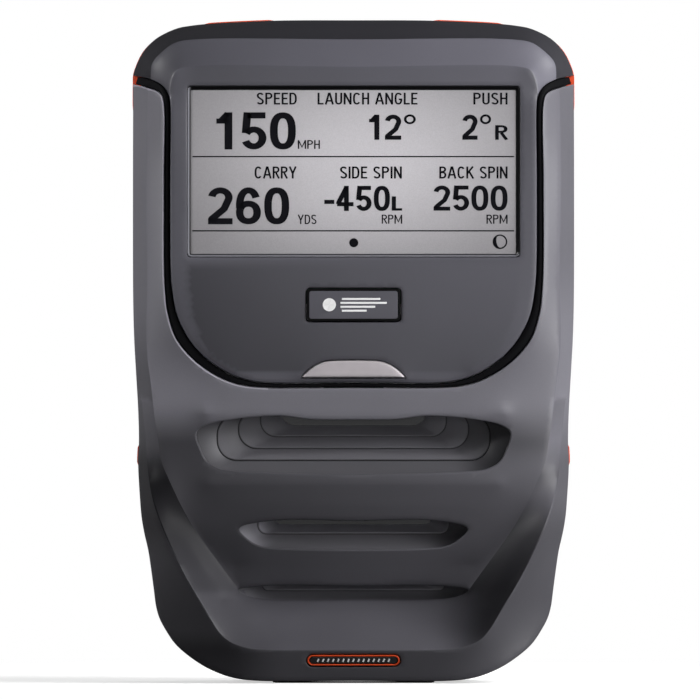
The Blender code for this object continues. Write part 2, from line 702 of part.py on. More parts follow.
# ---------------------------------------------------------------- rear shell
MID_Z = (TOP + FOOT) / 2
HALF_HEIGHT = (TOP - FOOT) / 2
REAR_CREASES = [(6.5, 0.62), (14, 0.90), (24, 1.0)]    # distance inside the outline, depth share
POWER_X, POWER_Z = -40.0, 102.0
DOOR_X0, DOOR_X1 = 12.0, 60.0
DOOR_Z0, DOOR_Z1 = 92.0, 112.0
PIN_Z0, PIN_Z1 = 92.8, 96.0     # notches for the hinge pin beside the door opening
NOTCH = 2.4                # how far each notch runs past the opening


# The sheet is drawn facing the front, with its depths negated, and flipped by the slab.
def rear_crease(d, share):
    """The outline shrunk by d, at this share of the way from the outer edge to the rear wall."""
    fx, fz = 1 - d / HALF_WIDTH, 1 - d / HALF_HEIGHT
    out = []
    for x, z in OUTLINE:
        edge = depth_at(REAR_EDGE_DEPTH, z)
        out.append((x * fx, MID_Z + (z - MID_Z) * fz, -(edge + (REAR - edge) * share)))
    return out


lines = [closed(rear_crease(d, share)) for d, share in REAR_CREASES]
lines.append(closed([(0.0, TOP - RIM)] + wall_line(OUTLINE, RIM)))
door_hole = [
    (DOOR_X0, DOOR_Z0), (DOOR_X1, DOOR_Z0), (DOOR_X1, PIN_Z0), (DOOR_X1 + NOTCH, PIN_Z0),
    (DOOR_X1 + NOTCH, PIN_Z1), (DOOR_X1, PIN_Z1), (DOOR_X1, DOOR_Z1), (DOOR_X0, DOOR_Z1),
    (DOOR_X0, PIN_Z1), (DOOR_X0 - NOTCH, PIN_Z1), (DOOR_X0 - NOTCH, PIN_Z0), (DOOR_X0, PIN_Z0)]
holes = [door_hole, circle(POWER_X, POWER_Z, 7.4, 20)]
holes += [circle(x, z, 3.9, 12) for x, z in SCREWS.values()]
holes += [rounded(-34, 34, z, z + 3.0, 1.4) for z in range(180, 209, 7)]    # five flat slots
holes = [[(x, z, -REAR) for x, z in loop] for loop in holes]
rear_outline = [(x, z, -depth_at(REAR_EDGE_DEPTH, z)) for x, z in OUTLINE]
points, depths, faces, _ = sheet(full(rear_outline), lines, holes, step=14.0)
back = inner_depths(points, depths, both(OUTLINE)[0], -REAR_RIM)
rear_shell = add("rear_shell", *slab(points, depths, back, faces, flip=True), SHELL_GREY, sharp=22)
# Openings for the levelling jack: a round hole through the base, a wider bay for the wheel.
for radius, z0, z1, n in ((10.4, -3, 5, 24), (16.0, 3.95, 10.7, 36)):
    cut = lathe("cut", rod(radius, z0, z1), DARK, (0, WHEEL_Y, 0), n, "z")
    boolean(rear_shell, cut, "DIFFERENCE")

# ---------------------------------------------------------------- hoods
HOOD_POINTS = 32           # points round each loop of a hood
BAFFLE = 0.7               # thickness of a baffle's edge


def baffle_loop(half_width, bottom, top, margin, radius):
    """A rounded rectangle round a ring's opening, spaced evenly from its lower middle."""
    low = bottom - margin
    loop = rounded(-half_width - margin, half_width + margin, low, top + margin, radius, 5)
    return even(loop + [(0.0, low)], HOOD_POINTS)


def hood(name, slot, rings, setback):
    """A stepped funnel of baffles behind a slot, one closed body; returns its rear depth."""
    def mouth_y(x, z):
        return surface_at(x, z) + WALL + 0.8 + setback

    mouth = even(full(slot), HOOD_POINTS)
    mid_z = sum(z for x, z in mouth) / HOOD_POINTS
    lip = [(x * 1.035, z + (0.9 if z > mid_z else -0.9)) for x, z in mouth]
    loops = [[(x, mouth_y(x, z), z) for x, z in loop] for loop in (lip, mouth)]
    rim = mouth_y(0, mouth[0][1])
    for half_width, bottom, top, depth in rings:
        radius = min(8.0, (top - bottom) / 2 - 0.3)
        ring = baffle_loop(half_width, bottom, top, 0.0, radius)
        for y in (rim + depth, rim + depth + BAFFLE):
            loops.append([(x, y, z) for x, z in ring])
    # Back along the outside, from the last ring to the first: ring, margin, depth.
    rear = rim + rings[-1][3] + BAFFLE
    outside = [(rings[-1], 1.8, rear)]
    outside += [(ring, 2.2, rim + ring[3] + 1.6) for ring in reversed(rings[:-1])]
    for (half_width, bottom, top, _), margin, y in outside:
        radius = min(9.0, (top - bottom) / 2 + 1.2)
        ring = baffle_loop(half_width, bottom, top, margin, radius)
        loops.append([(x, y, z) for x, z in ring])
    verts = [p for loop in loops for p in loop]
    faces = []
    for i in range(len(loops)):
        a = i * HOOD_POINTS
        b = (i + 1) % len(loops) * HOOD_POINTS
        for k in range(HOOD_POINTS):
            n = (k + 1) % HOOD_POINTS
            faces.append((a + k, a + n, b + n, b + k))
    face_outwards(add(name, verts, faces, SHELL_GREY, sharp=25))
    return rear


# ---------------------------------------------------------------- windows and cameras
def camera(label, z, y):
    """Barrel, lens and sensor board; y is the front of the barrel."""
    barrel = [(0, y + 5.8), (5.2, y + 5.8), (5.2, y + 5.2), (6.2, y + 5), (6.2, y), (7.4, y),
              (8.0, y + 0.6), (8.0, y + 4), (7.0, y + 5), (7.0, -BENCH), (0, -BENCH)]
    lens = [(0, y + 1.2), (3.0, y + 1.5), (5.6, y + 2.6), (5.6, y + 4.4), (0, y + 4.4)]
    lathe("camera_barrel_" + label, barrel, DARK, (0, 0, z), 16)
    lathe("camera_lens_" + label, lens, CLEAR, (0, 0, z), 16)
    plate("sensor_board_" + label, rounded(-12, 12, z - 10.5, z + 10.5, 1.5), (-2.6, -1.1), CIRCUIT)


window_backs = {}
for label, slot, rings, lens_z, setback in CAMERAS:
    window_y = hood("hood_" + label, slot, rings, setback) + GAP
    half_width, bottom, top, _ = rings[-1]
    window_backs[label] = window_y + WINDOW
    plate("window_" + label,
          rounded(-half_width - 2, half_width + 2, bottom - 2.2, top + 2.2, 2.5, 3),
          (window_y, window_backs[label]), CLEAR)
    camera(label, lens_z, window_backs[label] + 0.4)

# Infrared boards either side of the upper lens, with two emitters each.
BOARD_X = 21
BOARD_Z = CAMERAS[0][3]
led_y = window_backs["upper"] + 1.0
led_profile = [(0, led_y), (1.3, led_y + 0.3), (2.2, led_y + 1.4), (2.2, led_y + 2.8),
               (0, led_y + 2.8)]
for side, name in ((-1, "infrared_board_left"), (1, "infrared_board_right")):
    x = side * BOARD_X
    board = plate(name, rounded(x - 6.5, x + 6.5, 101.5, 114.3, 1),
                  (led_y + 2.2, led_y + 3.8), CIRCUIT)
    for k in (-1, 1):
        led = lathe("led", led_profile, CLEAR, (x + k * 3.0, 0, BOARD_Z), 10)
        boolean(board, led, "UNION")

# ---------------------------------------------------------------- chassis and electronics
bench = plate("optical_bench", rounded(-60, 60, 31, 229, 6, 3), (BENCH, BENCH + 3), ALUMINIUM,
              [rounded(-38, 38, 150, 205, 8, 3)])
# Posts that take the rear screws, bored from behind.
post_profile = [(0, BENCH + 1), (5.2, BENCH + 1), (5.2, BENCH + 9), (4.2, BENCH + 10), (4.2, 46),
                (1.9, 46), (1.9, BENCH + 12), (0, BENCH + 12)]
for x, z in SCREWS.values():
    boolean(bench, lathe("post", post_profile, ALUMINIUM, (x, 0, z), 16), "UNION")

plate("main_board", rounded(-48, 48, 84, 224, 2), (9.0, 10.6), CIRCUIT)
block("processor_shield", x=(-20, 20), y=(10.9, 13.6), z=(160, 196), mat=STEEL, bevel=0.5)

FINS, FIN_PITCH, FIN_HALF = 7, 7, 0.9
heatsink = block("heatsink", x=(-24, 24), y=(13.9, 16.4), z=(154, 200), mat=ALUMINIUM, bevel=0.3)
for k in range(FINS):
    x = FIN_PITCH * (k - (FINS - 1) // 2)
    fin = block("fin", x=(x - FIN_HALF, x + FIN_HALF), y=(16.0, 29.0), z=(155, 199),
                mat=ALUMINIUM, bevel=0.0)
    boolean(heatsink, fin, "UNION")

block("battery_pack", x=(-38, 38), y=(13.0, 35.0), z=(22, 80), mat=WRAP, bevel=3.0)
bracket = plate("battery_bracket", rounded(-45, 45, 46, 56, 1.5), (35.4, 37.0), ALUMINIUM)
for side in (-1, 1):
    arm = block("arm", x=sorted((side * 40.0, side * 41.8)), y=(7.0, 36.2), z=(47, 55),
                mat=ALUMINIUM, bevel=0.0)
    boolean(bracket, arm, "UNION")
block("wifi_antenna", x=(-46, -26), y=(9.0, 10.2), z=(229, 236), mat=CIRCUIT, bevel=0.2)

# Connectors behind the rear door, standing over their board.
PORT_Z = 93.0
PORT_BACK = 46.5
plate("io_board", rounded(10, 62, 90, 92.6, 0.6), (24, 47), CIRCUIT)
block("ethernet_jack", x=(13.5, 30), y=(27, PORT_BACK), z=(PORT_Z, 107), mat=STEEL, bevel=0.5)
block("usb_c_port", x=(34, 43.2), y=(38, PORT_BACK), z=(PORT_Z, 96.6), mat=STEEL, bevel=0.8)
block("dc_jack", x=(47, 57), y=(33, PORT_BACK), z=(PORT_Z, 103), mat=DARK, bevel=0.6)

# ---------------------------------------------------------------- rear door
# Plate with a hinge barrel along its foot, turning on a pin, and a finger notch at its top.
DOOR_AXIS = (0, 53.6, (PIN_Z0 + PIN_Z1) / 2)
DOOR_RANGE = (DOOR_X0 + 0.4, DOOR_X1 - 0.4)
door_mid = (DOOR_X0 + DOOR_X1) / 2
door = block("port_door", x=DOOR_RANGE, y=(52.4, REAR), z=(DOOR_AXIS[2], 111.5),
             mat=DARK, bevel=0.0)
barrel = lathe("barrel", rod(1.9, *DOOR_RANGE), DARK, DOOR_AXIS, 20, "x")
boolean(door, barrel, "UNION")
bore = lathe("bore", rod(1.0, DOOR_X0 - 3, DOOR_X1 + 3), DARK, DOOR_AXIS, 16, "x")
boolean(door, bore, "DIFFERENCE")
pull = block("pull", x=(door_mid - 6, door_mid + 6), y=(54.0, 57.0), z=(110.4, 114),
             mat=DARK, bevel=0.0)
boolean(door, pull, "DIFFERENCE")
move_to(door, *DOOR_AXIS)
lathe("door_pin", rod(0.7, DOOR_X0 - 2.1, DOOR_X1 + 2.1), STEEL, DOOR_AXIS, 12, "x")

# ---------------------------------------------------------------- power button
POWER_AT = (POWER_X, 0, POWER_Z)
lathe("power_ring", [(5.5, 52.0), (7.0, 52.0), (7.0, 55.4), (6.6, 55.8), (5.8, 55.8), (5.5, 55.4)],
      ORANGE, POWER_AT, 28)
power = lathe("power_button", [(0, 50.2), (6.6, 50.2), (6.6, 51.4), (5.1, 51.4), (5.1, 56.1),
                               (4.4, 56.8), (0, 57.0)], DARK, POWER_AT, 28)
move_to(power, POWER_X, 50.0, POWER_Z)
switch = plate("power_switch", rounded(POWER_X - 6, POWER_X + 6, POWER_Z - 6, POWER_Z + 6, 1),
               (44.0, 46.8), DARK)
boolean(switch, lathe("plunger", rod(1.8, 46, 48.8), DARK, POWER_AT, 12), "UNION")

# ---------------------------------------------------------------- rear screws
# Socket heads, with a clearance shank into the bench posts.
screw_profile = [(0, 30), (1.5, 30), (1.5, 50.6), (3.4, 50.6), (3.4, 53.4), (3.0, 53.8),
                 (1.6, 53.8), (1.6, 52.2), (0, 51.9)]
for name, (x, z) in SCREWS.items():
    lathe(name, screw_profile, STEEL, (x, 0, z), 16)

# ---------------------------------------------------------------- base and levelling jack
JACK = (0, WHEEL_Y, 0)
base_plate = block("base_plate", x=(-36, 36), y=(-46, 47), z=(11.6, 14.0), mat=STEEL, bevel=0.4)
boolean(base_plate, lathe("bore", rod(4.5, 8, 18), DARK, JACK, 24, "z"), "DIFFERENCE")
block("front_foot", x=(-32, 32), y=(-50, -40), z=(0.0, 0.5), mat=RUBBER, bevel=0.15)

wheel = lathe("level_wheel", [(4.4, 4.6), (14.6, 4.6), (15.4, 5.4), (15.4, 9.2), (14.6, 10.0),
                              (4.4, 10.0)], DARK, JACK, 36, "z")
move_to(wheel, 0, WHEEL_Y, 7.0)
stem = lathe("level_stem", [(0, 3.2), (3.2, 3.2), (4.0, 4.0), (4.0, 21.0), (3.2, 21.8),
                            (0, 21.8)], STEEL, JACK, 24, "z")
move_to(stem, 0, WHEEL_Y, 3.2)
pad = lathe("level_pad", [(0, 0), (8.6, 0), (9.4, 0.8), (9.4, 2.0), (8.8, 2.8), (0, 2.8)],
            RUBBER, JACK, 28, "z")
move_to(pad, *JACK)

# ---------------------------------------------------------------- base badge
# A blank black pill in the front lip, ringed by a thin accent line, in the frame of the lip.
_, lip_z, lip_y = SCOOP_RIM[-1]
lip_slope = (FRONT_EDGE_DEPTH[0][1] - lip_y) / (lip_z - FOOT)   # it falls back to the ground
pill_z = sum(BASE_BADGE_HOLE_Z) / 2
lip_frame = frame("lip_frame", lip_y + lip_slope * (lip_z - pill_z), pill_z, math.atan(lip_slope))
pill = plate("base_badge", rounded(-17.3, 17.3, -1.35, 1.35, 1.3, 4), (0.2, 4.3), RUBBER,
             parent=lip_frame)
flange = plate("flange", rounded(-20.5, 20.5, -3.6, 3.4, 1.5, 3), (3.5, 4.8), RUBBER,
               parent=lip_frame)
boolean(pill, flange, "UNION")
plate("base_badge_outline", rounded(-18.2, 18.2, -2.1, 2.1, 2.05, 4), (-0.1, 0.6), ORANGE,
      [rounded(-17.65, 17.65, -1.68, 1.68, 1.6, 4)], lip_frame)

bpy.context.view_layer.update()
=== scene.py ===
"""Looks of a camera-based golf launch monitor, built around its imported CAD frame.

The coarse faceted shells of the frame are stood for by fine ones made here: the same plan outlines
and crease lines, run through smooth curves, with depths relaxed between them and rounded edges.
All lengths in the geometry code are millimetres in the frame's axes (+Z up, front faces -Y).
"""

import json
import math

import bmesh
import bpy
import numpy as np
from mathutils import Matrix, Vector
from mathutils.geometry import delaunay_2d_cdt
from mathutils.kdtree import KDTree

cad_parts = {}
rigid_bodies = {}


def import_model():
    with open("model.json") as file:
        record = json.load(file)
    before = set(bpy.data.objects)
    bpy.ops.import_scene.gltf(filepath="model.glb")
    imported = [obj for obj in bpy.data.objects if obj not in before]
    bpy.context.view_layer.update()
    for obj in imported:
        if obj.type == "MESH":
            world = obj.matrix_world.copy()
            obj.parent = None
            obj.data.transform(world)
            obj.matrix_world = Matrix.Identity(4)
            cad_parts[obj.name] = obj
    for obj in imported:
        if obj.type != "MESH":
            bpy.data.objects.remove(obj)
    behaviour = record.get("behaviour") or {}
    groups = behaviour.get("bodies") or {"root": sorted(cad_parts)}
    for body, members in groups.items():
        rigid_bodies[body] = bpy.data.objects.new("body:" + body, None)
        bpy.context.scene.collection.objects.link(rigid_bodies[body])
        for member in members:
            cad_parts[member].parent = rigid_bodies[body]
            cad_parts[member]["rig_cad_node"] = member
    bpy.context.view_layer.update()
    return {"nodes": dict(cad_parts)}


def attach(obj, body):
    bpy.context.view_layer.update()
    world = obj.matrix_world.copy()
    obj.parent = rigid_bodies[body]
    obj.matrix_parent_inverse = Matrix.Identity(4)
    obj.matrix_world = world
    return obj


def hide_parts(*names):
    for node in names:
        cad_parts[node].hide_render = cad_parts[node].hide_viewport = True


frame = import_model()

MM = 0.001
WALL, RIM, FOOT = 2.5, 2.4, 0.8
FRONT_RIM, REAR_RIM, REAR = -5.0, -3.0, 55.0
FACE_Y, FACE_Z, FACE_SLOPE = -44.0, 118.0, 0.0656
LEAN = math.atan(FACE_SLOPE)
NAN = float("nan")

# ---------------------------------------------------------------- design lines (as in the CAD)
OUTLINE = [(0, 262.8), (21.3, 262.8), (33.2, 262.6), (56.3, 261.5), (65.0, 260.6), (70.4, 259.5),
           (78.6, 255.4), (83.7, 250.0), (86.5, 244.3), (87.5, 240.9), (87.6, 237.4), (87.7, 199.3),
           (87.6, 151.6), (87.2, 136.1), (86.5, 123.4), (85.6, 107.5), (85.3, 95.9), (85.6, 87.2),
           (84.9, 73.7), (84.2, 65.5), (83.1, 59.1), (81.5, 52.2), (80.5, 45.8), (79.3, 37.1),
           (78.3, 29.9), (77.0, 25.5), (75.1, 21.8), (71.0, 15.7), (66.6, 11.6), (59.1, 6.5),
           (52.0, 3.3), (45.7, 1.6), (37.4, 0.8), (0, 0.8)]
SPLIT = 9
HEAD_EDGE = [(87.5, 240.9, -9), (85.6, 240.5, -14), (80.5, 239.2, -25), (75.4, 236.3, -31.5),
             (73.2, 232.9, -35.2), (72.6, 229.7, None), (72.6, 199.3, None), (72.4, 163.9, None),
             (71.7, 154.9, None), (69.8, 145.4, None), (65.9, 137.3, None), (61.5, 131.5, None),
             (56.4, 127.0, None), (48.8, 122.3, None), (42.5, 120.1, None), (35.5, 118.9, None),
             (0, 118.9, None)]
SHELL_EDGE = [(87.6, 237.4, -9), (81.7, 235.7, -26), (76.7, 233.5, -32.5), (75.4, 230.4, -35),
              (75.2, 199.3, -37.2), (75.2, 163.9, -39.5), (74.8, 154.9, -40.2), (73.9, 146.8, -40.8),
              (71.0, 137.3, -41.6), (66.6, 130.9, -42.2), (59.6, 124.6, -43.0), (51.3, 119.8, -43.6),
              (43.7, 117.5, -43.9), (35.5, 116.7, -44), (0, 116.7, -44)]
CHAMFER = [(0, 255.0, -26), (62.6, 255.0, -26), (70.4, 253.8, -26), (75.4, 250.6, -25.7),
           (79.9, 245.5, -25.2), (80.5, 239.2, -25)]
FACE_TOP = [(0, 244.0, -35.7), (65.8, 244.0, -35.7), (70.6, 242.3, -35.8), (72.6, 237.5, -35.6),
            (73.2, 232.9, -35.2)]
INNER_BORDER = [(66.2, 166.7), (65.6, 155.6), (64.3, 145.4), (61.5, 137.3), (56.4, 128.9),
                (46.9, 123.0)]
PANEL_CREASE = [(81.7, 235.7, -26), (82.4, 199.3, -31), (81.8, 163.9, -33), (82.1, 139.3, -34.5),
                (81.8, 129.7, -35), (80.2, 117.0, -35.5), (78.6, 103.0, -36.5), (77.4, 95.9, -37.3),
                (76.1, 87.6, -38.6), (73.5, 81.2, -39.8), (70.4, 74.5, -39.9), (68.5, 70.5, -39.3),
                (62.6, 60.1, -35.6), (54.0, 48.0, -30.8), (45.7, 36.5, -26)]
SCOOP_RIM = [(84.1, 111.8, -22), (82.5, 95.9, -28), (81.8, 86.4, -33), (80.5, 76.8, -38.5),
             (78.9, 70.1, -42), (75.4, 60.5, -46), (70.4, 49.8, -49.5), (65.4, 40.3, -52),
             (59.6, 30.7, -54), (53.9, 21.2, -55.5), (50.7, 17.6, -56), (46.9, 15.4, -56.3),
             (40.6, 13.6, -56.6), (34.8, 13.2, -56.8), (0, 13.2, -57)]
BROW = [(0, 107.0, -44.3), (60.0, 107.0, -43.9)]
PANEL_TOP = [(0, 79.0, -42.4), (58.0, 79.0, -41.6)]
PANEL_LINE = [(0, 70.0, -39.4), (60.0, 70.0, -38.6)]
PANEL_LOW = [(0, 46.0, -29.2), (48.0, 46.0, -28.6)]
FLOOR_LINE = [(0, 23.5, -37.5), (34.0, 23.5, -38.5), (46.0, 26.5, -42)]
SIDE_WALL = [(71.0, 66.0, -40.6), (61.0, 47.0, -38.6), (52.0, 33.0, -37)]
SLOT_1 = [(0, 104.1), (17.3, 104.3), (28.4, 105.6), (38.0, 105.3), (47.5, 104.3), (57.9, 102.1),
          (62.1, 99.1), (60.4, 92.2), (57.9, 87.6), (53.5, 84.9), (47.5, 83.8), (0, 82.5)]
SLOT_2 = [(0, 64.0), (26.0, 64.4), (38.0, 63.3), (43.9, 62.0), (45.3, 60.7), (41.4, 56.4),
          (37.2, 54.2), (30.2, 53.2), (0, 52.6)]
SLOT_3 = [(0, 38.0, -26), (26.0, 38.3, -26), (36.4, 37.9, -26), (45.7, 36.5, -26),
          (43.6, 34.8, -25), (38.5, 33.3, -23), (31.0, 32.7, -21.5), (0, 32.7, -21)]
HOOD_1 = [(54.3, 87.7, 106.2, 4.6), (45.9, 92.4, 108.0, 9.2), (37.1, 97.1, 110.5, 13.8), (29.0, 101.8, 114.0, 18.4)]
HOOD_2 = [(38.2, 58.5, 66.5, 5.0), (32.0, 62.6, 71.0, 10.4)]
HOOD_3 = [(36.5, 35.9, 41.5, 2.4), (31.0, 38.6, 46.5, 4.6)]
SIDE_TABLE = [(0.8, -53), (3.3, -51.5), (6.5, -49.5), (11.6, -45), (15.7, -41), (21.8, -36), (29.9, -30),
              (45.8, -24), (65.5, -18), (87.2, -12.5), (107.5, -9), (300, -9)]
REAR_TABLE = [(0.8, 46), (3.3, 44), (6.5, 41), (11.6, 35), (15.7, 30), (21.8, 24), (29.9, 18), (45.8, 12), (65.5, 9), (300, 8)]
SCREWS = [(-54, 222), (54, 222), (-54, 44), (54, 44)]
POWER = (-40.0, 102.0)
DOOR_X0, DOOR_X1 = 12.0, 60.0
DOOR_AXIS = (53.6, 94.4)
STEP = 1.7
SCREEN_RGB = (0.62, 0.60, 0.63)
WORLD_LOW, WORLD_HIGH = 0.16, 0.10
# painted light and shade of the front shell's regions: factors on the colour, lighter where light falls, darker where
# shade falls
PAINTED_LIGHT_TONE = {"band": 1.32, "side": 1.18, "brow": 1.45, "panel": 0.78, "scoop": 0.80, "base": 0.58, "flank_low": 0.55, "flank": 0.62}
HEAD_PAINTED_LIGHT = (0.36, 1.25, 1.0)       # painted shade and light: top chamfer darker, upper facet lighter, display face


def face_y(z):
    return FACE_Y + FACE_SLOPE * (z - FACE_Z)


def drop(z):
    return max(0.0, min(1.0, (215 - z) / 60.0))


def ramp(table, z):
    return float(np.interp(z, [t[0] for t in table], [t[1] for t in table]))


# ---------------------------------------------------------------- curves in plan
def spline(points, step=1.2, closed=False):
    """Centripetal Catmull-Rom through the points, resampled; any further columns follow along."""
    p = np.array([[NAN if v is None else v for v in q] for q in points], float)
    if closed:
        p = np.vstack([p[-1], p, p[0], p[1]])
    else:
        p = np.vstack([2 * p[0] - p[1], p, 2 * p[-1] - p[-2]])
    out = []
    for i in range(1, len(p) - 2):
        a, b, c, d = p[i - 1], p[i], p[i + 1], p[i + 2]
        length = math.hypot(*(c - b)[:2])
        n = max(1, int(round(length / step)))
        t0 = 0.0
        t1 = t0 + max(1e-4, math.hypot(*(b - a)[:2])) ** 0.5
        t2 = t1 + max(1e-4, length) ** 0.5
        t3 = t2 + max(1e-4, math.hypot(*(d - c)[:2])) ** 0.5
        for k in range(n):
            t = t1 + (t2 - t1) * k / n
            a1 = (t1 - t) / (t1 - t0) * a + (t - t0) / (t1 - t0) * b
            a2 = (t2 - t) / (t2 - t1) * b + (t - t1) / (t2 - t1) * c
            a3 = (t3 - t) / (t3 - t2) * c + (t - t2) / (t3 - t2) * d
            b1 = (t2 - t) / (t2 - t0) * a1 + (t - t0) / (t2 - t0) * a2
            b2 = (t3 - t) / (t3 - t1) * a2 + (t - t1) / (t3 - t1) * a3
            out.append((t2 - t) / (t2 - t1) * b1 + (t - t1) / (t2 - t1) * b2)
    if not closed:
        out.append(p[-2])
    return np.array(out)


def mirrored(line):
    """The full line of a half that starts or ends on the middle."""
    flip = [(-q[0], *q[1:]) for q in line]
    if abs(line[0][0]) < 1e-6:
        return list(reversed(flip)) + list(line[1:])
    return list(line) + list(reversed(flip))[1:]


def crease(line, step=1.2):
    if abs(line[0][0]) < 1e-6 or abs(line[-1][0]) < 1e-6:
        return [spline(mirrored(line), step)]
    one = spline(line, step)
    two = one.copy()
    two[:, 0] *= -1
    return [one, two]


def loop_of(half, step=1.0):
    """A closed smooth loop, anticlockwise from the front, of a right half from the top middle."""
    left = [(-q[0], *q[1:]) for q in reversed(half) if q[0] > 1e-6]
    return spline(list(reversed([tuple(q) for q in half] + left)), step, True)


def shifted(line, d, closed=False):
    """A line moved to its left (inwards for an anticlockwise loop) by d."""
    p = line[:, :2]
    if closed:
        t = np.roll(p, -1, 0) - np.roll(p, 1, 0)
    else:
        t = np.gradient(p, axis=0)
    t /= np.maximum(1e-9, np.hypot(t[:, 0], t[:, 1]))[:, None]
    return p + np.stack([-t[:, 1], t[:, 0]], 1) * d


def rounded(x0, x1, z0, z1, rb, rt=None, n=8, step=None):
    """A rounded rectangle, anticlockwise from the front, with lower and upper radii."""
    rt = rb if rt is None else rt
    loop = []
    for cx, cz, r, start in ((x1 - rb, z0 + rb, rb, -90), (x1 - rt, z1 - rt, rt, 0),
                             (x0 + rt, z1 - rt, rt, 90), (x0 + rb, z0 + rb, rb, 180)):
        for k in range(n + 1):
            a = math.radians(start + 90 * k / n)
            loop.append((cx + r * math.cos(a), cz + r * math.sin(a)))
    loop = np.array(loop)
    return refine(loop, step) if step else loop


def refine(loop, step):
    """Splits the long sides of a closed loop."""
    out = []
    for a, b in zip(loop, np.roll(loop, -1, 0)):
        n = max(1, int(math.ceil(math.hypot(*(b - a)[:2]) / step)))
        out += [a + (b - a) * k / n for k in range(n)]
    return np.array(out)


def circle(cx, cz, r, n=48):
    a = np.arange(n) * 2 * math.pi / n
    return np.stack([cx + r * np.cos(a), cz + r * np.sin(a)], 1)


def even(loop, count):
    """count points evenly along a closed loop, from its lowest middle point."""
    p = np.asarray(loop)[:, :2]
    q = refine(p, 0.4)
    start = int(np.argmin(np.abs(q[:, 0]) * 10 + (q[:, 1] - q[:, 1].min())))
    q = np.roll(q, -start, 0)
    q = np.vstack([q, q[0]])
    run = np.concatenate([[0], np.cumsum(np.hypot(*(np.diff(q, axis=0).T)))])
    want = run[-1] * np.arange(count) / count
    return np.stack([np.interp(want, run, q[:, 0]), np.interp(want, run, q[:, 1])], 1)


def inside(loop, pts):
    """Which points lie in a closed loop."""
    x, z = pts[:, 0], pts[:, 1]
    hit = np.zeros(len(pts), bool)
    p, q = loop[:, :2], np.roll(loop[:, :2], -1, 0)
    for (x0, z0), (x1, z1) in zip(p, q):
        if z0 == z1:
            continue
        cross = ((z0 > z) != (z1 > z)) & (x < (x1 - x0) * (z - z0) / (z1 - z0) + x0)
        hit ^= cross
    return hit


def tree(points):
    t = KDTree(len(points))
    for i, p in enumerate(points):
        t.insert((p[0], p[1], 0.0), i)
    t.balance()
    return t


def nearest(t, pts):
    return np.array([t.find((p[0], p[1], 0.0))[2] for p in pts])


# ---------------------------------------------------------------- relaxed sheets
def relax(coords, tris, known, values, edge, soften):
    """The smoothest depths through the known ones: cotangent Laplacian, conjugate gradients."""
    n = len(coords)
    i, j, w = [], [], []
    for a, b, c in ((0, 1, 2), (1, 2, 0), (2, 0, 1)):
        u = coords[tris[:, a]] - coords[tris[:, c]]
        v = coords[tris[:, b]] - coords[tris[:, c]]
        area = np.abs(u[:, 0] * v[:, 1] - u[:, 1] * v[:, 0])
        k = np.clip(0.5 * (u * v).sum(1) / np.maximum(area, 1e-9), -60, 60)
        i.append(tris[:, a]); j.append(tris[:, b]); w.append(k)
    i, j, w = np.concatenate(i), np.concatenate(j), np.concatenate(w)
    # One weight per edge, from its two triangles: a plane then stays a plane, however steep.
    key = np.minimum(i, j) * n + np.maximum(i, j)
    key, where = np.unique(key, return_inverse=True)
    w = np.maximum(np.bincount(where, w), 1e-3)
    i, j = key // n, key % n
    ii, jj, ww = np.concatenate([i, j]), np.concatenate([j, i]), np.concatenate([w, w])
    diag = np.bincount(ii, ww, n) + 1e-12
    free = ~known

    def apply(x):
        y = diag * x - np.bincount(ii, ww * x[jj], n)
        y[known] = 0
        return y

    y = np.zeros(n)
    y[known] = values[known]
    mean = values[known].mean()
    y[free] = mean
    r = -(diag * y - np.bincount(ii, ww * y[jj], n))
    r[known] = 0
    z = r / diag
    p = z.copy()
    rz = r @ z
    for _ in range(1500):
        ap = apply(p)
        alpha = rz / max(1e-30, p @ ap)
        y += alpha * p
        r -= alpha * ap
        if np.abs(r).max() < 1e-6:
            break
        z = r / diag
        new = r @ z
        p = z + new / rz * p
        rz = new
    # Soften the creases a little: a few rounds of the same weighted averaging off the outline.
    for _ in range(soften):
        avg = np.bincount(ii, ww * y[jj], n) / diag
        y = np.where(edge, y, 0.45 * y + 0.55 * avg)
    return y


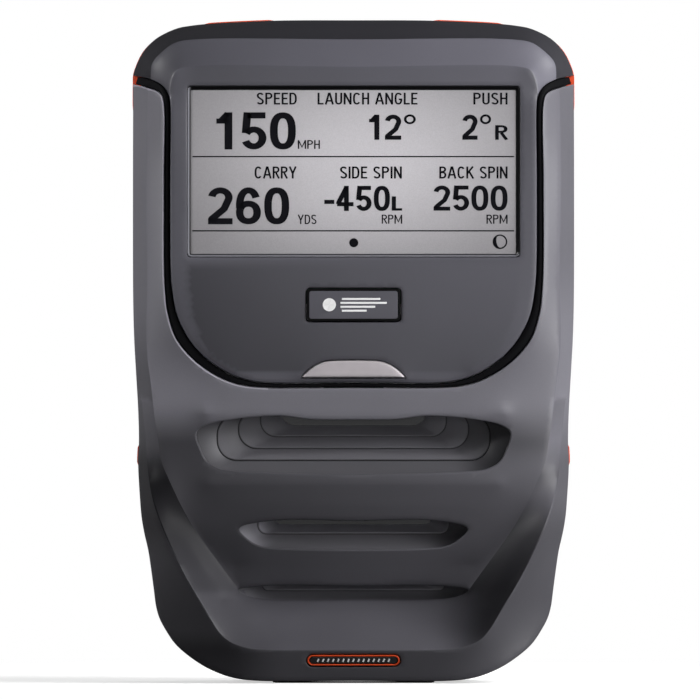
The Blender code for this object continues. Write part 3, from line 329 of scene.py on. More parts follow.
def sheet(outline, lines, holes, step, round_r=0.7, round_sets=(), soften=3, crisp=()):
    """Triangulates an outline with creases and holes and relaxes the depths.

    Every line is an array of (x, z[, y]).  round_sets are (line, closed, side) edges to be rounded.
    Returns coords (n, 2), depths (n,), all triangles and the ones outside the holes."""
    pts, depth, edges = [], [], []

    def chain(line, closed):
        start = len(pts)
        for q in line:
            pts.append((float(q[0]), float(q[1])))
            depth.append(float(q[2]) if len(q) > 2 else NAN)
        m = len(line)
        edges.extend((start + k, start + k + 1) for k in range(m - 1))
        if closed:
            edges.append((start + m - 1, start))

    chain(outline, True)
    for line in lines:
        chain(line, False)
    for hole in holes:
        chain(hole, True)
    for line, closed, side in round_sets:
        for d in (round_r * 0.28, round_r * 0.75):
            guard = shifted(line, side * d, closed)
            ok = inside(outline, guard)
            for hole in holes:
                ok &= ~inside(hole, guard)
            run = []
            for good, q in zip(ok, guard):
                if good:
                    run.append(q)
                elif len(run) > 1:
                    chain(np.array(run), False)
                    run = []
                else:
                    run = []
            if len(run) > 1:
                chain(np.array(run), False)
    # Close guard lines keep a crisp crease's rounding to a fraction of a millimetre.
    for line in crisp:
        for d in (-0.45, 0.45):
            guard = shifted(line, d)
            ok = inside(outline, guard)
            for hole in holes:
                ok &= ~inside(hole, guard)
            run = []
            for good, q in zip(ok, guard):
                if good:
                    run.append(q)
                    continue
                if len(run) > 1:
                    chain(np.array(run), False)
                run = []
            if len(run) > 1:
                chain(np.array(run), False)
    base = np.array(pts)
    near = tree(base)
    lo, hi = base.min(0), base.max(0)
    rows = []
    dz = step * 0.866
    for k in range(int((hi[1] - lo[1]) / dz)):
        x = np.arange(lo[0] + (0.5 * step if k % 2 else 0), hi[0], step)
        rows.append(np.stack([x, np.full(len(x), lo[1] + (k + 0.5) * dz)], 1))
    fill = np.vstack(rows)
    fill = fill[inside(outline, fill)]
    fill = fill[nearest(near, fill) > step * 0.55]
    allp = [Vector(p) for p in pts] + [Vector((float(a), float(b))) for a, b in fill]
    depth = np.array(depth + [NAN] * len(fill))
    vc, _, faces, origin, _, _ = delaunay_2d_cdt(allp, edges, [], 0, 1e-5, True)
    coords = np.array([(v.x, v.y) for v in vc])
    values = np.full(len(coords), NAN)
    for i, source in enumerate(origin):
        for s in source:
            if not math.isnan(depth[s]):
                values[i] = depth[s]
                break
    tris = np.array([tuple(f) for f in faces if len(f) == 3], int)
    a, b, c = coords[tris[:, 0]], coords[tris[:, 1]], coords[tris[:, 2]]
    area = (b[:, 0] - a[:, 0]) * (c[:, 1] - a[:, 1]) - (c[:, 0] - a[:, 0]) * (b[:, 1] - a[:, 1])
    tris = tris[np.abs(area) > 1e-7]
    area = area[np.abs(area) > 1e-7]
    tris[area < 0] = tris[area < 0][:, [0, 2, 1]]
    mid = coords[tris].mean(1)
    tris = tris[inside(outline, mid)]
    known = ~np.isnan(values)
    edge = nearest(tree(outline), coords) < 1e-4
    y = relax(coords, tris, known, values, edge, soften)
    plain = y.copy()
    mid = coords[tris].mean(1)
    kept = np.ones(len(tris), bool)
    for hole in holes:
        kept &= ~inside(hole, mid)
    if round_sets:
        rim = tree(np.vstack([refine(l[:, :2], 0.3) if closed else l[:, :2] for l, closed, _ in round_sets]))
        d = nearest(rim, coords)
        t = np.clip(round_r - d, 0, round_r)
        y = y + (round_r - np.sqrt(np.maximum(0, round_r ** 2 - t ** 2)))
    return coords, y, plain, tris, tris[kept]


def interp(coords, y, tris, pts):
    """Depth of a sheet at points, from the triangles around them."""
    a, b, c = coords[tris[:, 0]], coords[tris[:, 1]], coords[tris[:, 2]]
    area = (b[:, 0] - a[:, 0]) * (c[:, 1] - a[:, 1]) - (c[:, 0] - a[:, 0]) * (b[:, 1] - a[:, 1])
    out = []
    for x, z in np.asarray(pts)[:, :2]:
        u = ((b[:, 0] - x) * (c[:, 1] - z) - (c[:, 0] - x) * (b[:, 1] - z)) / area
        v = ((c[:, 0] - x) * (a[:, 1] - z) - (a[:, 0] - x) * (c[:, 1] - z)) / area
        w = 1 - u - v
        k = int(np.argmax(np.minimum(np.minimum(u, v), w)))
        out.append(u[k] * y[tris[k, 0]] + v[k] * y[tris[k, 1]] + w[k] * y[tris[k, 2]])
    return np.array(out)


def slab(coords, front, back, tris, flip=False):
    """A closed solid between two depths per point."""
    used = np.unique(tris)
    index = np.full(len(coords), -1)
    index[used] = np.arange(len(used))
    t = index[tris]
    n = len(used)
    verts = np.zeros((2 * n, 3))
    verts[:n, 0] = verts[n:, 0] = coords[used, 0]
    verts[:n, 2] = verts[n:, 2] = coords[used, 1]
    verts[:n, 1], verts[n:, 1] = front[used], back[used]
    e = np.vstack([t[:, [0, 1]], t[:, [1, 2]], t[:, [2, 0]]])
    seen = {(int(a), int(b)) for a, b in e}
    faces = [tuple(int(v) for v in f) for f in t] + [(int(f[2]) + n, int(f[1]) + n, int(f[0]) + n) for f in t]
    for a, b in seen:
        if (b, a) not in seen:
            faces.append((b, a, a + n, b + n))
    if flip:
        verts[:, 1] *= -1
        faces = [tuple(reversed(f)) for f in faces]
    return verts, faces


# ---------------------------------------------------------------- objects
def add(name, verts, faces, mat, body="body", sharp=35, replaces=(), matrix=None, tidy=False):
    mesh = bpy.data.meshes.new(name)
    mesh.from_pydata([tuple(float(c) * MM for c in v) for v in verts], [], [tuple(f) for f in faces])
    if tidy:
        bm = bmesh.new()
        bm.from_mesh(mesh)
        bmesh.ops.remove_doubles(bm, verts=bm.verts, dist=1e-7)
        bmesh.ops.recalc_face_normals(bm, faces=bm.faces)
        bm.to_mesh(mesh)
        bm.free()
    mesh.materials.append(mat)
    mesh.shade_smooth()
    mesh.set_sharp_from_angle(angle=math.radians(sharp))
    obj = bpy.data.objects.new(name, mesh)
    bpy.context.collection.objects.link(obj)
    if matrix is not None:
        obj.matrix_world = matrix
    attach(obj, body)
    if replaces:
        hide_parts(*replaces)
    return obj


def strip(loops, closed_ring=True, cap_first=False, cap_last=False):
    """Faces between successive closed loops with the same number of points."""
    n = len(loops[0])
    verts = [tuple(p) for loop in loops for p in loop]
    faces = []
    m = len(loops)
    for i in range(m if closed_ring else m - 1):
        j = (i + 1) % m
        for k in range(n):
            q = (k + 1) % n
            faces.append((i * n + k, i * n + q, j * n + q, j * n + k))
    if cap_first:
        faces.append(tuple(range(n))[::-1])
    if cap_last:
        faces.append(tuple((m - 1) * n + k for k in range(n)))
    return verts, faces


HEAD = Matrix.Translation((0, FACE_Y * MM, FACE_Z * MM)) @ Matrix.Rotation(-LEAN, 4, "X")


def up(z):
    return (z - FACE_Z) / math.cos(LEAN)


def pillow(name, loop, y0, y1, mat, bevel=0.3, inner=None, matrix=None, body="body", replaces=(), crown=0.0, sharp=40):
    """A plate with this outline between two depths, its front edge rounded; inner cuts a window."""
    loop = np.asarray(loop)[:, :2]
    outs = []
    for k in range(5):
        a = math.radians(90 * k / 4)
        d, h = bevel * (1 - math.sin(a)), bevel * (1 - math.cos(a))
        outs.append((bevel - d, bevel - h))
    loops = [[(x, y1, z) for x, z in loop]]
    for k in range(5):
        a = math.pi / 2 * k / 4
        inset = bevel * (1 - math.cos(a))
        y = y0 + bevel * (1 - math.sin(a))
        p = shifted(loop, inset, True)
        loops.append([(x, y, z) for x, z in p])
    if inner is None:
        verts, faces = strip(loops, False, True, False)
        if crown:
            # crowned face: concentric loops towards the middle
            base = shifted(loop, bevel, True)
            c = base.mean(0)
            extra = []
            for f in (0.75, 0.5, 0.25):
                extra.append([(c[0] + (x - c[0]) * f, y0 - crown * (1 - f * f), c[1] + (z - c[1]) * f) for x, z in base])
            verts, faces = strip(loops + extra, False, True, True)
        else:
            verts, faces = strip(loops, False, True, True)
    else:
        inner = np.asarray(inner)[:, :2]
        win = even(inner, len(loop))
        start = even(loop, len(loop))
        loops = [[(x, y1, z) for x, z in start]]
        for k in range(5):
            a = math.pi / 2 * k / 4
            p = shifted(start, bevel * (1 - math.cos(a)), True)
            loops.append([(x, y0 + bevel * (1 - math.sin(a)), z) for x, z in p])
        b2 = min(bevel, 0.3)
        for k in range(4):
            a = math.pi / 2 * k / 3
            p = shifted(win, -b2 * (1 - math.sin(a)), True)
            loops.append([(x, y0 + b2 * (1 - math.cos(a)), z) for x, z in p])
        loops.append([(x, y1, z) for x, z in win])
        verts, faces = strip(loops, True)
    return add(name, verts, faces, mat, body, sharp, replaces, matrix, tidy=True)


def lathe(name, profile, mat, axis="y", at=(0, 0, 0), n=64, body="body", replaces=(), sharp=35, matrix=None):
    """Turns a closed profile of (radius, along) about an axis."""
    rings, verts = [], []
    for r, a in profile:
        if r < 1e-6:
            rings.append([len(verts)])
            verts.append((0.0, 0.0, a))
        else:
            rings.append(list(range(len(verts), len(verts) + n)))
            verts += [(r * math.cos(2 * math.pi * k / n), r * math.sin(2 * math.pi * k / n), a) for k in range(n)]
    faces = []
    for p, q in zip(rings, rings[1:] + rings[:1]):
        if len(p) == 1 and len(q) == 1:
            continue
        for k in range(n):
            m = (k + 1) % n
            if len(p) == 1:
                faces.append((p[0], q[m], q[k]))
            elif len(q) == 1:
                faces.append((p[k], p[m], q[0]))
            else:
                faces.append((p[k], p[m], q[m], q[k]))
    if axis == "y":
        verts = [(x, z, -y) for x, y, z in verts]
    elif axis == "x":
        verts = [(z, x, y) for x, y, z in verts]
    verts = [(x + at[0], y + at[1], z + at[2]) for x, y, z in verts]
    return add(name, verts, faces, mat, body, sharp, replaces, matrix, tidy=True)


# ---------------------------------------------------------------- materials
def nodes_of(name):
    mat = bpy.data.materials.new(name)
    mat.use_nodes = True
    tree_ = mat.node_tree
    return mat, tree_, tree_.nodes["Principled BSDF"]


def plastic(name, rgb, rough=0.5, grain=0.22, bump=0.12, vary=0.05, coat=0.0, metal=0.0, shade=False, spec=0.5, sheen=0.0):
    """Moulded plastic: fine spark-eroded grain in bump and roughness, faint tone variation, edges
    rubbed a little lighter.  With shade, a 'shade' attribute on the mesh scales the colour with painted light and
    shade, and dulls the specular where it is painted dark."""
    mat, nt, bsdf = nodes_of(name)
    n, link = nt.nodes, nt.links
    coord = n.new("ShaderNodeTexCoord")
    fine = n.new("ShaderNodeTexNoise")
    fine.inputs["Scale"].default_value = 1.0 / (grain * MM)
    fine.inputs["Detail"].default_value = 3
    fine.inputs["Roughness"].default_value = 0.6
    link.new(coord.outputs["Object"], fine.inputs["Vector"])
    broad = n.new("ShaderNodeTexNoise")
    broad.inputs["Scale"].default_value = 22
    broad.inputs["Detail"].default_value = 4
    link.new(coord.outputs["Object"], broad.inputs["Vector"])
    b = n.new("ShaderNodeBump")
    b.inputs["Strength"].default_value = bump
    b.inputs["Distance"].default_value = 0.05 * MM
    link.new(fine.outputs["Fac"], b.inputs["Height"])
    link.new(b.outputs["Normal"], bsdf.inputs["Normal"])
    tone = n.new("ShaderNodeMapRange")
    tone.inputs["From Min"].default_value, tone.inputs["From Max"].default_value = 0.3, 0.7
    tone.inputs["To Min"].default_value, tone.inputs["To Max"].default_value = 1 - vary, 1 + vary
    link.new(broad.outputs["Fac"], tone.inputs["Value"])
    speck = n.new("ShaderNodeMapRange")
    speck.inputs["From Min"].default_value, speck.inputs["From Max"].default_value = 0.3, 0.7
    speck.inputs["To Min"].default_value, speck.inputs["To Max"].default_value = 0.94, 1.06
    link.new(fine.outputs["Fac"], speck.inputs["Value"])
    mul = n.new("ShaderNodeMath"); mul.operation = "MULTIPLY"
    link.new(tone.outputs["Result"], mul.inputs[0])
    link.new(speck.outputs["Result"], mul.inputs[1])
    geo = n.new("ShaderNodeNewGeometry")
    wear = n.new("ShaderNodeMapRange")
    wear.inputs["From Min"].default_value, wear.inputs["From Max"].default_value = 0.52, 0.62
    wear.inputs["To Min"].default_value, wear.inputs["To Max"].default_value = 1.0, 1.18
    link.new(geo.outputs["Pointiness"], wear.inputs["Value"])
    mul2 = n.new("ShaderNodeMath"); mul2.operation = "MULTIPLY"
    link.new(mul.outputs[0], mul2.inputs[0])
    link.new(wear.outputs["Result"], mul2.inputs[1])
    last = mul2.outputs[0]
    if shade:
        # painted light and shade: the mesh's 'shade' attribute scales the colour, and the specular drops where it is
        # painted dark
        at = n.new("ShaderNodeAttribute")
        at.attribute_name = "shade"
        mul3 = n.new("ShaderNodeMath"); mul3.operation = "MULTIPLY"
        link.new(last, mul3.inputs[0])
        link.new(at.outputs["Fac"], mul3.inputs[1])
        last = mul3.outputs[0]
        dull = n.new("ShaderNodeMapRange")
        dull.inputs["From Min"].default_value, dull.inputs["From Max"].default_value = 0.10, 0.75
        dull.inputs["To Min"].default_value, dull.inputs["To Max"].default_value = 0.10 * spec, spec
        link.new(at.outputs["Fac"], dull.inputs["Value"])
        link.new(dull.outputs["Result"], bsdf.inputs["Specular IOR Level"])
    colour = n.new("ShaderNodeVectorMath"); colour.operation = "SCALE"
    colour.inputs[0].default_value = rgb
    link.new(last, colour.inputs["Scale"])
    link.new(colour.outputs[0], bsdf.inputs["Base Color"])
    rr = n.new("ShaderNodeMapRange")
    rr.inputs["From Min"].default_value, rr.inputs["From Max"].default_value = 0.3, 0.7
    rr.inputs["To Min"].default_value, rr.inputs["To Max"].default_value = rough - 0.05, rough + 0.05
    link.new(broad.outputs["Fac"], rr.inputs["Value"])
    link.new(rr.outputs["Result"], bsdf.inputs["Roughness"])
    bsdf.inputs["Metallic"].default_value = metal
    bsdf.inputs["Coat Weight"].default_value = coat
    bsdf.inputs["Coat Roughness"].default_value = 0.15
    bsdf.inputs["Specular IOR Level"].default_value = spec
    bsdf.inputs["Sheen Weight"].default_value = sheen
    return mat


def brushed(name, rgb, rough=0.3, stretch=(1, 1, 40), metal=1.0, bump=0.05):
    """Brushed or turned metal: noise stretched along the grain, in bump and roughness."""
    mat, nt, bsdf = nodes_of(name)
    n, link = nt.nodes, nt.links
    coord = n.new("ShaderNodeTexCoord")
    mapping = n.new("ShaderNodeMapping")
    mapping.inputs["Scale"].default_value = stretch
    noise = n.new("ShaderNodeTexNoise")
    noise.inputs["Scale"].default_value = 260
    noise.inputs["Detail"].default_value = 4
    link.new(coord.outputs["Object"], mapping.inputs["Vector"])
    link.new(mapping.outputs["Vector"], noise.inputs["Vector"])
    b = n.new("ShaderNodeBump")
    b.inputs["Strength"].default_value = bump
    b.inputs["Distance"].default_value = 0.05 * MM
    link.new(noise.outputs["Fac"], b.inputs["Height"])
    link.new(b.outputs["Normal"], bsdf.inputs["Normal"])
    rr = n.new("ShaderNodeMapRange")
    rr.inputs["To Min"].default_value, rr.inputs["To Max"].default_value = rough - 0.08, rough + 0.1
    link.new(noise.outputs["Fac"], rr.inputs["Value"])
    link.new(rr.outputs["Result"], bsdf.inputs["Roughness"])
    tone = n.new("ShaderNodeMapRange")
    tone.inputs["To Min"].default_value, tone.inputs["To Max"].default_value = 0.9, 1.08
    link.new(noise.outputs["Fac"], tone.inputs["Value"])
    colour = n.new("ShaderNodeVectorMath"); colour.operation = "SCALE"
    colour.inputs[0].default_value = rgb
    link.new(tone.outputs["Result"], colour.inputs["Scale"])
    link.new(colour.outputs[0], bsdf.inputs["Base Color"])
    bsdf.inputs["Metallic"].default_value = metal
    return mat


def screen_material():
    """A reflective grey display: tone falls off towards its edges, with fine pixel grain."""
    mat, nt, bsdf = nodes_of("display_face")
    n, link = nt.nodes, nt.links
    coord = n.new("ShaderNodeTexCoord")
    sep = n.new("ShaderNodeSeparateXYZ")
    link.new(coord.outputs["Object"], sep.inputs[0])

    def math_(op, a, b=None):
        node = n.new("ShaderNodeMath"); node.operation = op
        for k, v in enumerate((a, b)):
            if v is None:
                continue
            if isinstance(v, (int, float)):
                node.inputs[k].default_value = v
            else:
                link.new(v, node.inputs[k])
        return node.outputs[0]

    # distance from the display's middle, in half widths and half heights
    dx = math_("MULTIPLY", math_("SUBTRACT", sep.outputs["X"], 0.004), 1 / 0.078)
    dz = math_("MULTIPLY", math_("SUBTRACT", sep.outputs["Z"], (up(205)) * MM), 1 / 0.052)
    r = math_("SQRT", math_("ADD", math_("MULTIPLY", dx, dx), math_("MULTIPLY", dz, dz)))
    fall = n.new("ShaderNodeMapRange")
    fall.interpolation_type = "SMOOTHSTEP"
    fall.inputs["From Min"].default_value, fall.inputs["From Max"].default_value = 0.05, 1.15
    fall.inputs["To Min"].default_value, fall.inputs["To Max"].default_value = 1.02, 0.47
    link.new(r, fall.inputs["Value"])
    noise = n.new("ShaderNodeTexNoise")
    noise.inputs["Scale"].default_value = 2600
    noise.inputs["Detail"].default_value = 1
    link.new(coord.outputs["Object"], noise.inputs["Vector"])
    grain = n.new("ShaderNodeMapRange")
    grain.inputs["From Min"].default_value, grain.inputs["From Max"].default_value = 0.3, 0.7
    grain.inputs["To Min"].default_value, grain.inputs["To Max"].default_value = 0.95, 1.05
    link.new(noise.outputs["Fac"], grain.inputs["Value"])
    total = math_("MULTIPLY", fall.outputs["Result"], grain.outputs["Result"])
    colour = n.new("ShaderNodeVectorMath"); colour.operation = "SCALE"
    colour.inputs[0].default_value = SCREEN_RGB
    link.new(total, colour.inputs["Scale"])
    link.new(colour.outputs[0], bsdf.inputs["Base Color"])
    bsdf.inputs["Roughness"].default_value = 0.42
    bsdf.inputs["Specular IOR Level"].default_value = 0.35
    return mat


def clear(name, rgb=(0.02, 0.02, 0.03), rough=0.05):
    mat, nt, bsdf = nodes_of(name)
    bsdf.inputs["Base Color"].default_value = (*rgb, 1)
    bsdf.inputs["Roughness"].default_value = rough
    bsdf.inputs["Coat Weight"].default_value = 0.10
    bsdf.inputs["Specular IOR Level"].default_value = 0.12
    bsdf.inputs["Coat Tint"].default_value = (0.75, 0.8, 1.0, 1)
    n, link = nt.nodes, nt.links
    noise = n.new("ShaderNodeTexNoise")
    noise.inputs["Scale"].default_value = 40
    rr = n.new("ShaderNodeMapRange")
    rr.inputs["To Min"].default_value, rr.inputs["To Max"].default_value = rough * 0.6, rough * 1.8
    link.new(noise.outputs["Fac"], rr.inputs["Value"])
    link.new(rr.outputs["Result"], bsdf.inputs["Roughness"])
    return mat


SHELL = plastic("shell_plastic", (0.115, 0.112, 0.130), 0.46, shade=True)
REARP = plastic("rear_plastic", (0.105, 0.102, 0.118), 0.50)
HEADM = plastic("head_plastic", (0.088, 0.086, 0.104), 0.44, shade=True)
RUBBER = plastic("black_rubber", (0.003, 0.003, 0.004), 0.7, grain=0.3, bump=0.2, spec=0.10)
BLACK = plastic("black_plastic", (0.014, 0.014, 0.016), 0.45)
GLOSSB = plastic("gloss_black", (0.008, 0.008, 0.010), 0.18, bump=0.02, coat=0.4)
MATTE = plastic("matte_black", (0.0035, 0.0035, 0.004), 0.65, bump=0.05, spec=0.08)
ORANGE = plastic("accent_orange", (0.85, 0.085, 0.018), 0.38, bump=0.04)
BADGE = plastic("badge_grey", (0.088, 0.086, 0.104), 0.40, grain=0.15, bump=0.06)
SILVER = brushed("button_silver", (0.54, 0.50, 0.525), 0.46, (1, 1, 1), 0.25, 0.02)
INK = plastic("display_ink", (0.006, 0.006, 0.008), 0.8, bump=0.0, spec=0.04)
SCREEN = screen_material()
STEEL = brushed("turned_steel", (0.50, 0.50, 0.51), 0.28)
ALU = brushed("satin_aluminium", (0.62, 0.62, 0.64), 0.32)
PCB = plastic("solder_mask", (0.010, 0.075, 0.035), 0.35, grain=0.6, coat=0.3)
WRAP = plastic("battery_sleeve", (0.03, 0.045, 0.09), 0.35, coat=0.2)
GLASS = clear("dark_glass", (0.012, 0.012, 0.018), 0.10)
SEALM = plastic("seal_black", (0.030, 0.030, 0.034), 0.35, bump=0.03, shade=True, spec=0.2)
WHITE = plastic("marking_white", (0.80, 0.80, 0.80), 0.45, bump=0.02)


def set_shade(obj, values):
    """One 'shade' number per vertex, painted light and shade read by the plastic's colour."""
    attr = obj.data.attributes.new("shade", "FLOAT", "POINT")
    attr.data.foreach_set("value", np.ascontiguousarray(values, np.float32))


# ---------------------------------------------------------------- front shell
sil = [(x, z, ramp(SIDE_TABLE, z)) for x, z in OUTLINE]
lower = sil[SPLIT + 1:]
side_line = spline(mirrored(lower), 1.2)                    # right side, round the base, left side
inner_edge = spline(mirrored(SHELL_EDGE), 1.2)              # right shoulder, under the head, left
outline_shell = np.vstack([inner_edge, side_line[::-1][1:-1]])
area = 0.5 * np.sum(outline_shell[:, 0] * np.roll(outline_shell[:, 1], -1) - np.roll(outline_shell[:, 0], -1) * outline_shell[:, 1])
if area < 0:
    outline_shell = outline_shell[::-1]
lines = []
for line in (PANEL_CREASE, SCOOP_RIM, BROW, PANEL_TOP, PANEL_LINE, PANEL_LOW, FLOOR_LINE, SIDE_WALL):
    lines += crease(line)
panel_crease, scoop_rim = crease(PANEL_CREASE), crease(SCOOP_RIM)
wall = shifted(side_line, RIM)
if abs(wall[len(wall) // 2][1]) < 0.8:
    wall = shifted(side_line, -RIM)
ok = inside(outline_shell, wall)
lines.append(wall[ok])
slots = [loop_of(SLOT_1), loop_of(SLOT_2), spline([(x, z, y) for x, z, y in
         list(reversed(SLOT_3 + [(-q[0], *q[1:]) for q in reversed(SLOT_3) if q[0] > 0]))], 1.0, True)]
pill_hole = rounded(-18.6, 18.6, 6.5, 11.4, 2.4, n=6, step=1.2)
holes = slots + [pill_hole]
edges_to_round = [(line, False, s) for line in (inner_edge, side_line) for s in (1, -1)] + [(s[:, :2], True, -1) for s in slots] + [(pill_hole, True, -1)]
coords, y, plain, tris, kept = sheet(outline_shell, lines, holes, STEP, 0.8, edges_to_round, 2, panel_crease + scoop_rim)
shell_sheet = (coords, plain, tris)
side_near = nearest(tree(refine(side_line[:, :2], 0.4)), coords) < RIM + 0.05
back = np.where(side_near, FRONT_RIM, np.minimum(FRONT_RIM, plain + WALL))
verts, faces = slab(coords, y, back, kept)
shell = add("front_shell_fine", verts, faces, SHELL, replaces=("front_shell",), sharp=30)


def smoothstep(a, b, x):
    t = np.clip((x - a) / (b - a), 0, 1)
    return t * t * (3 - 2 * t)


# Painted light and shade: each region keeps its own painted brightness right up to its crease, so the
# value is stored per face corner, with the region chosen by the face's middle.
crease_pair = np.vstack([panel_crease[0], panel_crease[1][::-1]])[:, :2]
rim_closed = np.vstack([scoop_rim[0][:, :2], np.array([(-95, 111.8), (-95, 300), (95, 300), (95, 111.8)], float)])


def corner_shade(obj, painted_light_of, regions):
    """Store the painted light and shade that a function of (x, z, *region masks) gives at every face corner of a mesh.
    """
    me = obj.data
    co = np.empty(len(me.vertices) * 3, np.float32)
    me.vertices.foreach_get("co", co)
    co = co.reshape(-1, 3) / MM
    start, total = np.empty(len(me.polygons), np.int32), np.empty(len(me.polygons), np.int32)
    me.polygons.foreach_get("loop_start", start)
    me.polygons.foreach_get("loop_total", total)
    vi = np.empty(len(me.loops), np.int32)
    me.loops.foreach_get("vertex_index", vi)
    face_of = np.repeat(np.arange(len(start)), total)
    mid = np.stack([np.bincount(face_of, co[vi, k]) / total for k in (0, 2)], 1)
    masks = [region(mid)[face_of] for region in regions]
    values = painted_light_of(co[vi, 0], co[vi, 2], *masks)
    attr = me.attributes.new("shade", "FLOAT", "CORNER")
    attr.data.foreach_set("value", np.ascontiguousarray(values, np.float32))


# painted shade and light down the scoop's side walls, by height: darkest in the fold and down the walls, the two sides
# apart as the light comes from the right
WALL_LEVELS_LEFT = (36, 43, 50, 57, 62, 66, 70, 75, 80, 86, 93.5, 112)
WALL_PAINTED_SHADE_LEFT = (0.38, 0.36, 0.27, 0.19, 0.15, 0.14, 0.145, 0.14, 0.16, 0.30, 0.75, 1.18)
WALL_LEVELS_RIGHT = (36, 40, 47, 54, 59, 64, 70, 75, 82, 88, 96, 112)
WALL_PAINTED_SHADE_RIGHT = (0.21, 0.24, 0.29, 0.35, 0.38, 0.52, 0.88, 0.87, 0.60, 0.90, 1.35, 1.20)


def shell_painted_light(x, z, rim_mask, panel_mask, groove_highlight_mask):
    # Painted light and shade of the front shell, per region: lighter where the light falls, darker in the scoop, on the
    # downward panel and low on the flanks, the two sides apart as the light comes from the right.
    ax = np.abs(x)
    band = PAINTED_LIGHT_TONE["band"] * (1 + 0.22 * smoothstep(-60, -78, x) * smoothstep(112, 150, z) * smoothstep(215, 150, z))
    brow = PAINTED_LIGHT_TONE["brow"] * (1 + 0.45 * smoothstep(-50, -70, x))
    centre = band + (brow - band) * smoothstep(140, 112, z)
    panel = PAINTED_LIGHT_TONE["panel"] * np.clip(0.93 + 0.0045 * x, 0.66, 1.2) * (1 - 0.35 * smoothstep(50, 66, x) * smoothstep(84, 96, z))
    panel = panel * (1 - smoothstep(66, 52, z) * (0.22 * smoothstep(-35, -50, x) - 0.12 * smoothstep(38, 50, x)))
    fade_z = z - 12 * smoothstep(45, 62, ax)                              # the brow turns into the inclined panel
    centre = centre + (panel - centre) * smoothstep(100, 82, fade_z)
    left = x < 0
    walls = np.empty_like(x)
    for side_, levels, tones in ((left, WALL_LEVELS_LEFT, WALL_PAINTED_SHADE_LEFT), (~left, WALL_LEVELS_RIGHT, WALL_PAINTED_SHADE_RIGHT)):
        if side_.any():
            walls[side_] = np.interp(z[side_], levels, tones)
    scoop = PAINTED_LIGHT_TONE["scoop"] * (1.15 - 0.45 * smoothstep(-20, -50, x) - 0.85 * smoothstep(30, 54, x))
    walls = walls + (scoop - walls) * smoothstep(37.5, 34.0, z)
    outer = np.interp(z, [0, 13, 30, 60, 88, 96, 104, 112], [PAINTED_LIGHT_TONE["base"], PAINTED_LIGHT_TONE["base"], PAINTED_LIGHT_TONE["flank_low"], PAINTED_LIGHT_TONE["flank"],
                      PAINTED_LIGHT_TONE["flank"], 0.6 * PAINTED_LIGHT_TONE["flank"] + 0.4 * PAINTED_LIGHT_TONE["side"], 0.9 * PAINTED_LIGHT_TONE["side"], PAINTED_LIGHT_TONE["side"]])
    outer = outer * (1 - 0.45 * smoothstep(-25, -50, x) * smoothstep(22, 12, z))
    fade_low = np.where(left, 1 - 0.28 * smoothstep(152, 118, z) * smoothstep(45, 62, z), 1 + 0.42 * smoothstep(172, 135, z) * smoothstep(58, 76, z))
    outer = outer * fade_low * np.where(left, 1 - 0.35 * smoothstep(96, 84, z) * smoothstep(52, 66, z), 1)
    inner_ = np.where(panel_mask > 0.5, centre, np.where(z > 112, PAINTED_LIGHT_TONE["side"] * fade_low, walls))
    total = np.where(rim_mask > 0.5, inner_, outer)
    return np.where(groove_highlight_mask > 0.5, total * 1.9, total)         # painted highlight: a thin light line along the left edge of the groove


def mark_creases(obj, crease_lines):
    """Keep the shading of a mesh crisp across its creases."""
    me = obj.data
    co = np.empty(len(me.vertices) * 3, np.float32)
    me.vertices.foreach_get("co", co)
    flat = co.reshape(-1, 3)[:, [0, 2]] / MM
    near = np.zeros(len(flat), bool)
    for line in crease_lines:
        near |= nearest(tree(refine(np.asarray(line)[:, :2], 0.1)), flat) < 0.06
    pair = np.empty(len(me.edges) * 2, np.int32)
    me.edges.foreach_get("vertices", pair)
    pair = pair.reshape(-1, 2)
    attr = me.attributes.get("sharp_edge") or me.attributes.new("sharp_edge", "BOOLEAN", "EDGE")
    old = np.zeros(len(me.edges), bool)
    attr.data.foreach_get("value", old)
    attr.data.foreach_set("value", old | (near[pair[:, 0]] & near[pair[:, 1]]))
    me.update()


groove_tree = tree(refine(inner_edge[:, :2], 0.3))
mark_creases(shell, list(panel_crease) + list(scoop_rim))
# painted light and shade of the front shell per face corner; the third mask picks the painted highlight along the left
# of the groove
corner_shade(shell, shell_painted_light, (lambda m: inside(rim_closed, m).astype(float),
                                 lambda m: (inside(crease_pair, m) & (m[:, 1] > 36.3)).astype(float),
                                 lambda m: ((nearest(groove_tree, m) < 0.8) & (m[:, 0] < -34)).astype(float)))

# ---------------------------------------------------------------- display head
def on_face(half_loop, step=1.0):
    """A closed hole loop on the leaning face, with its depths."""
    p = np.asarray(half_loop)
    return np.column_stack([p[:, 0], p[:, 1], face_y(p[:, 1])])


head_edge = [(x, z, y if y is not None else face_y(z) + drop(z)) for x, z, y in HEAD_EDGE]
top_line = spline(mirrored([(x, z, -9.0) for x, z in OUTLINE[:SPLIT + 1]]), 1.0)     # left to right over the top
groove_line = spline(mirrored(head_edge), 1.0)                                        # right, round the bottom, left
outline_head = np.vstack([groove_line, top_line[1:-1]])
area = 0.5 * np.sum(outline_head[:, 0] * np.roll(outline_head[:, 1], -1) - np.roll(outline_head[:, 0], -1) * outline_head[:, 1])
if area < 0:
    outline_head = outline_head[::-1]
lcd_hole = rounded(-65.9, 65.9, 168.5, 236.4, 1.3, n=5, step=1.4)
badge_hole = rounded(-18.8, 18.8, 142.8, 156.3, 1.6, n=6, step=1.0)
BUTTON = [(20.4, 120.9), (19.0, 122.4), (15.5, 125.2), (12.5, 126.6), (9.8, 127.2)]
button_loop = np.array(BUTTON + [(-x, z) for x, z in reversed(BUTTON)])               # from right foot over the top
arch = spline(button_loop, 0.8)
button_fine = refine(np.vstack([arch, arch[0]])[:-1], 0.8)
button_hole = shifted(button_fine, -0.4, True)
lines = []
for line in (CHAMFER, FACE_TOP, [(x, z, face_y(z)) for x, z in INNER_BORDER]):
    lines += crease(line, 1.0)
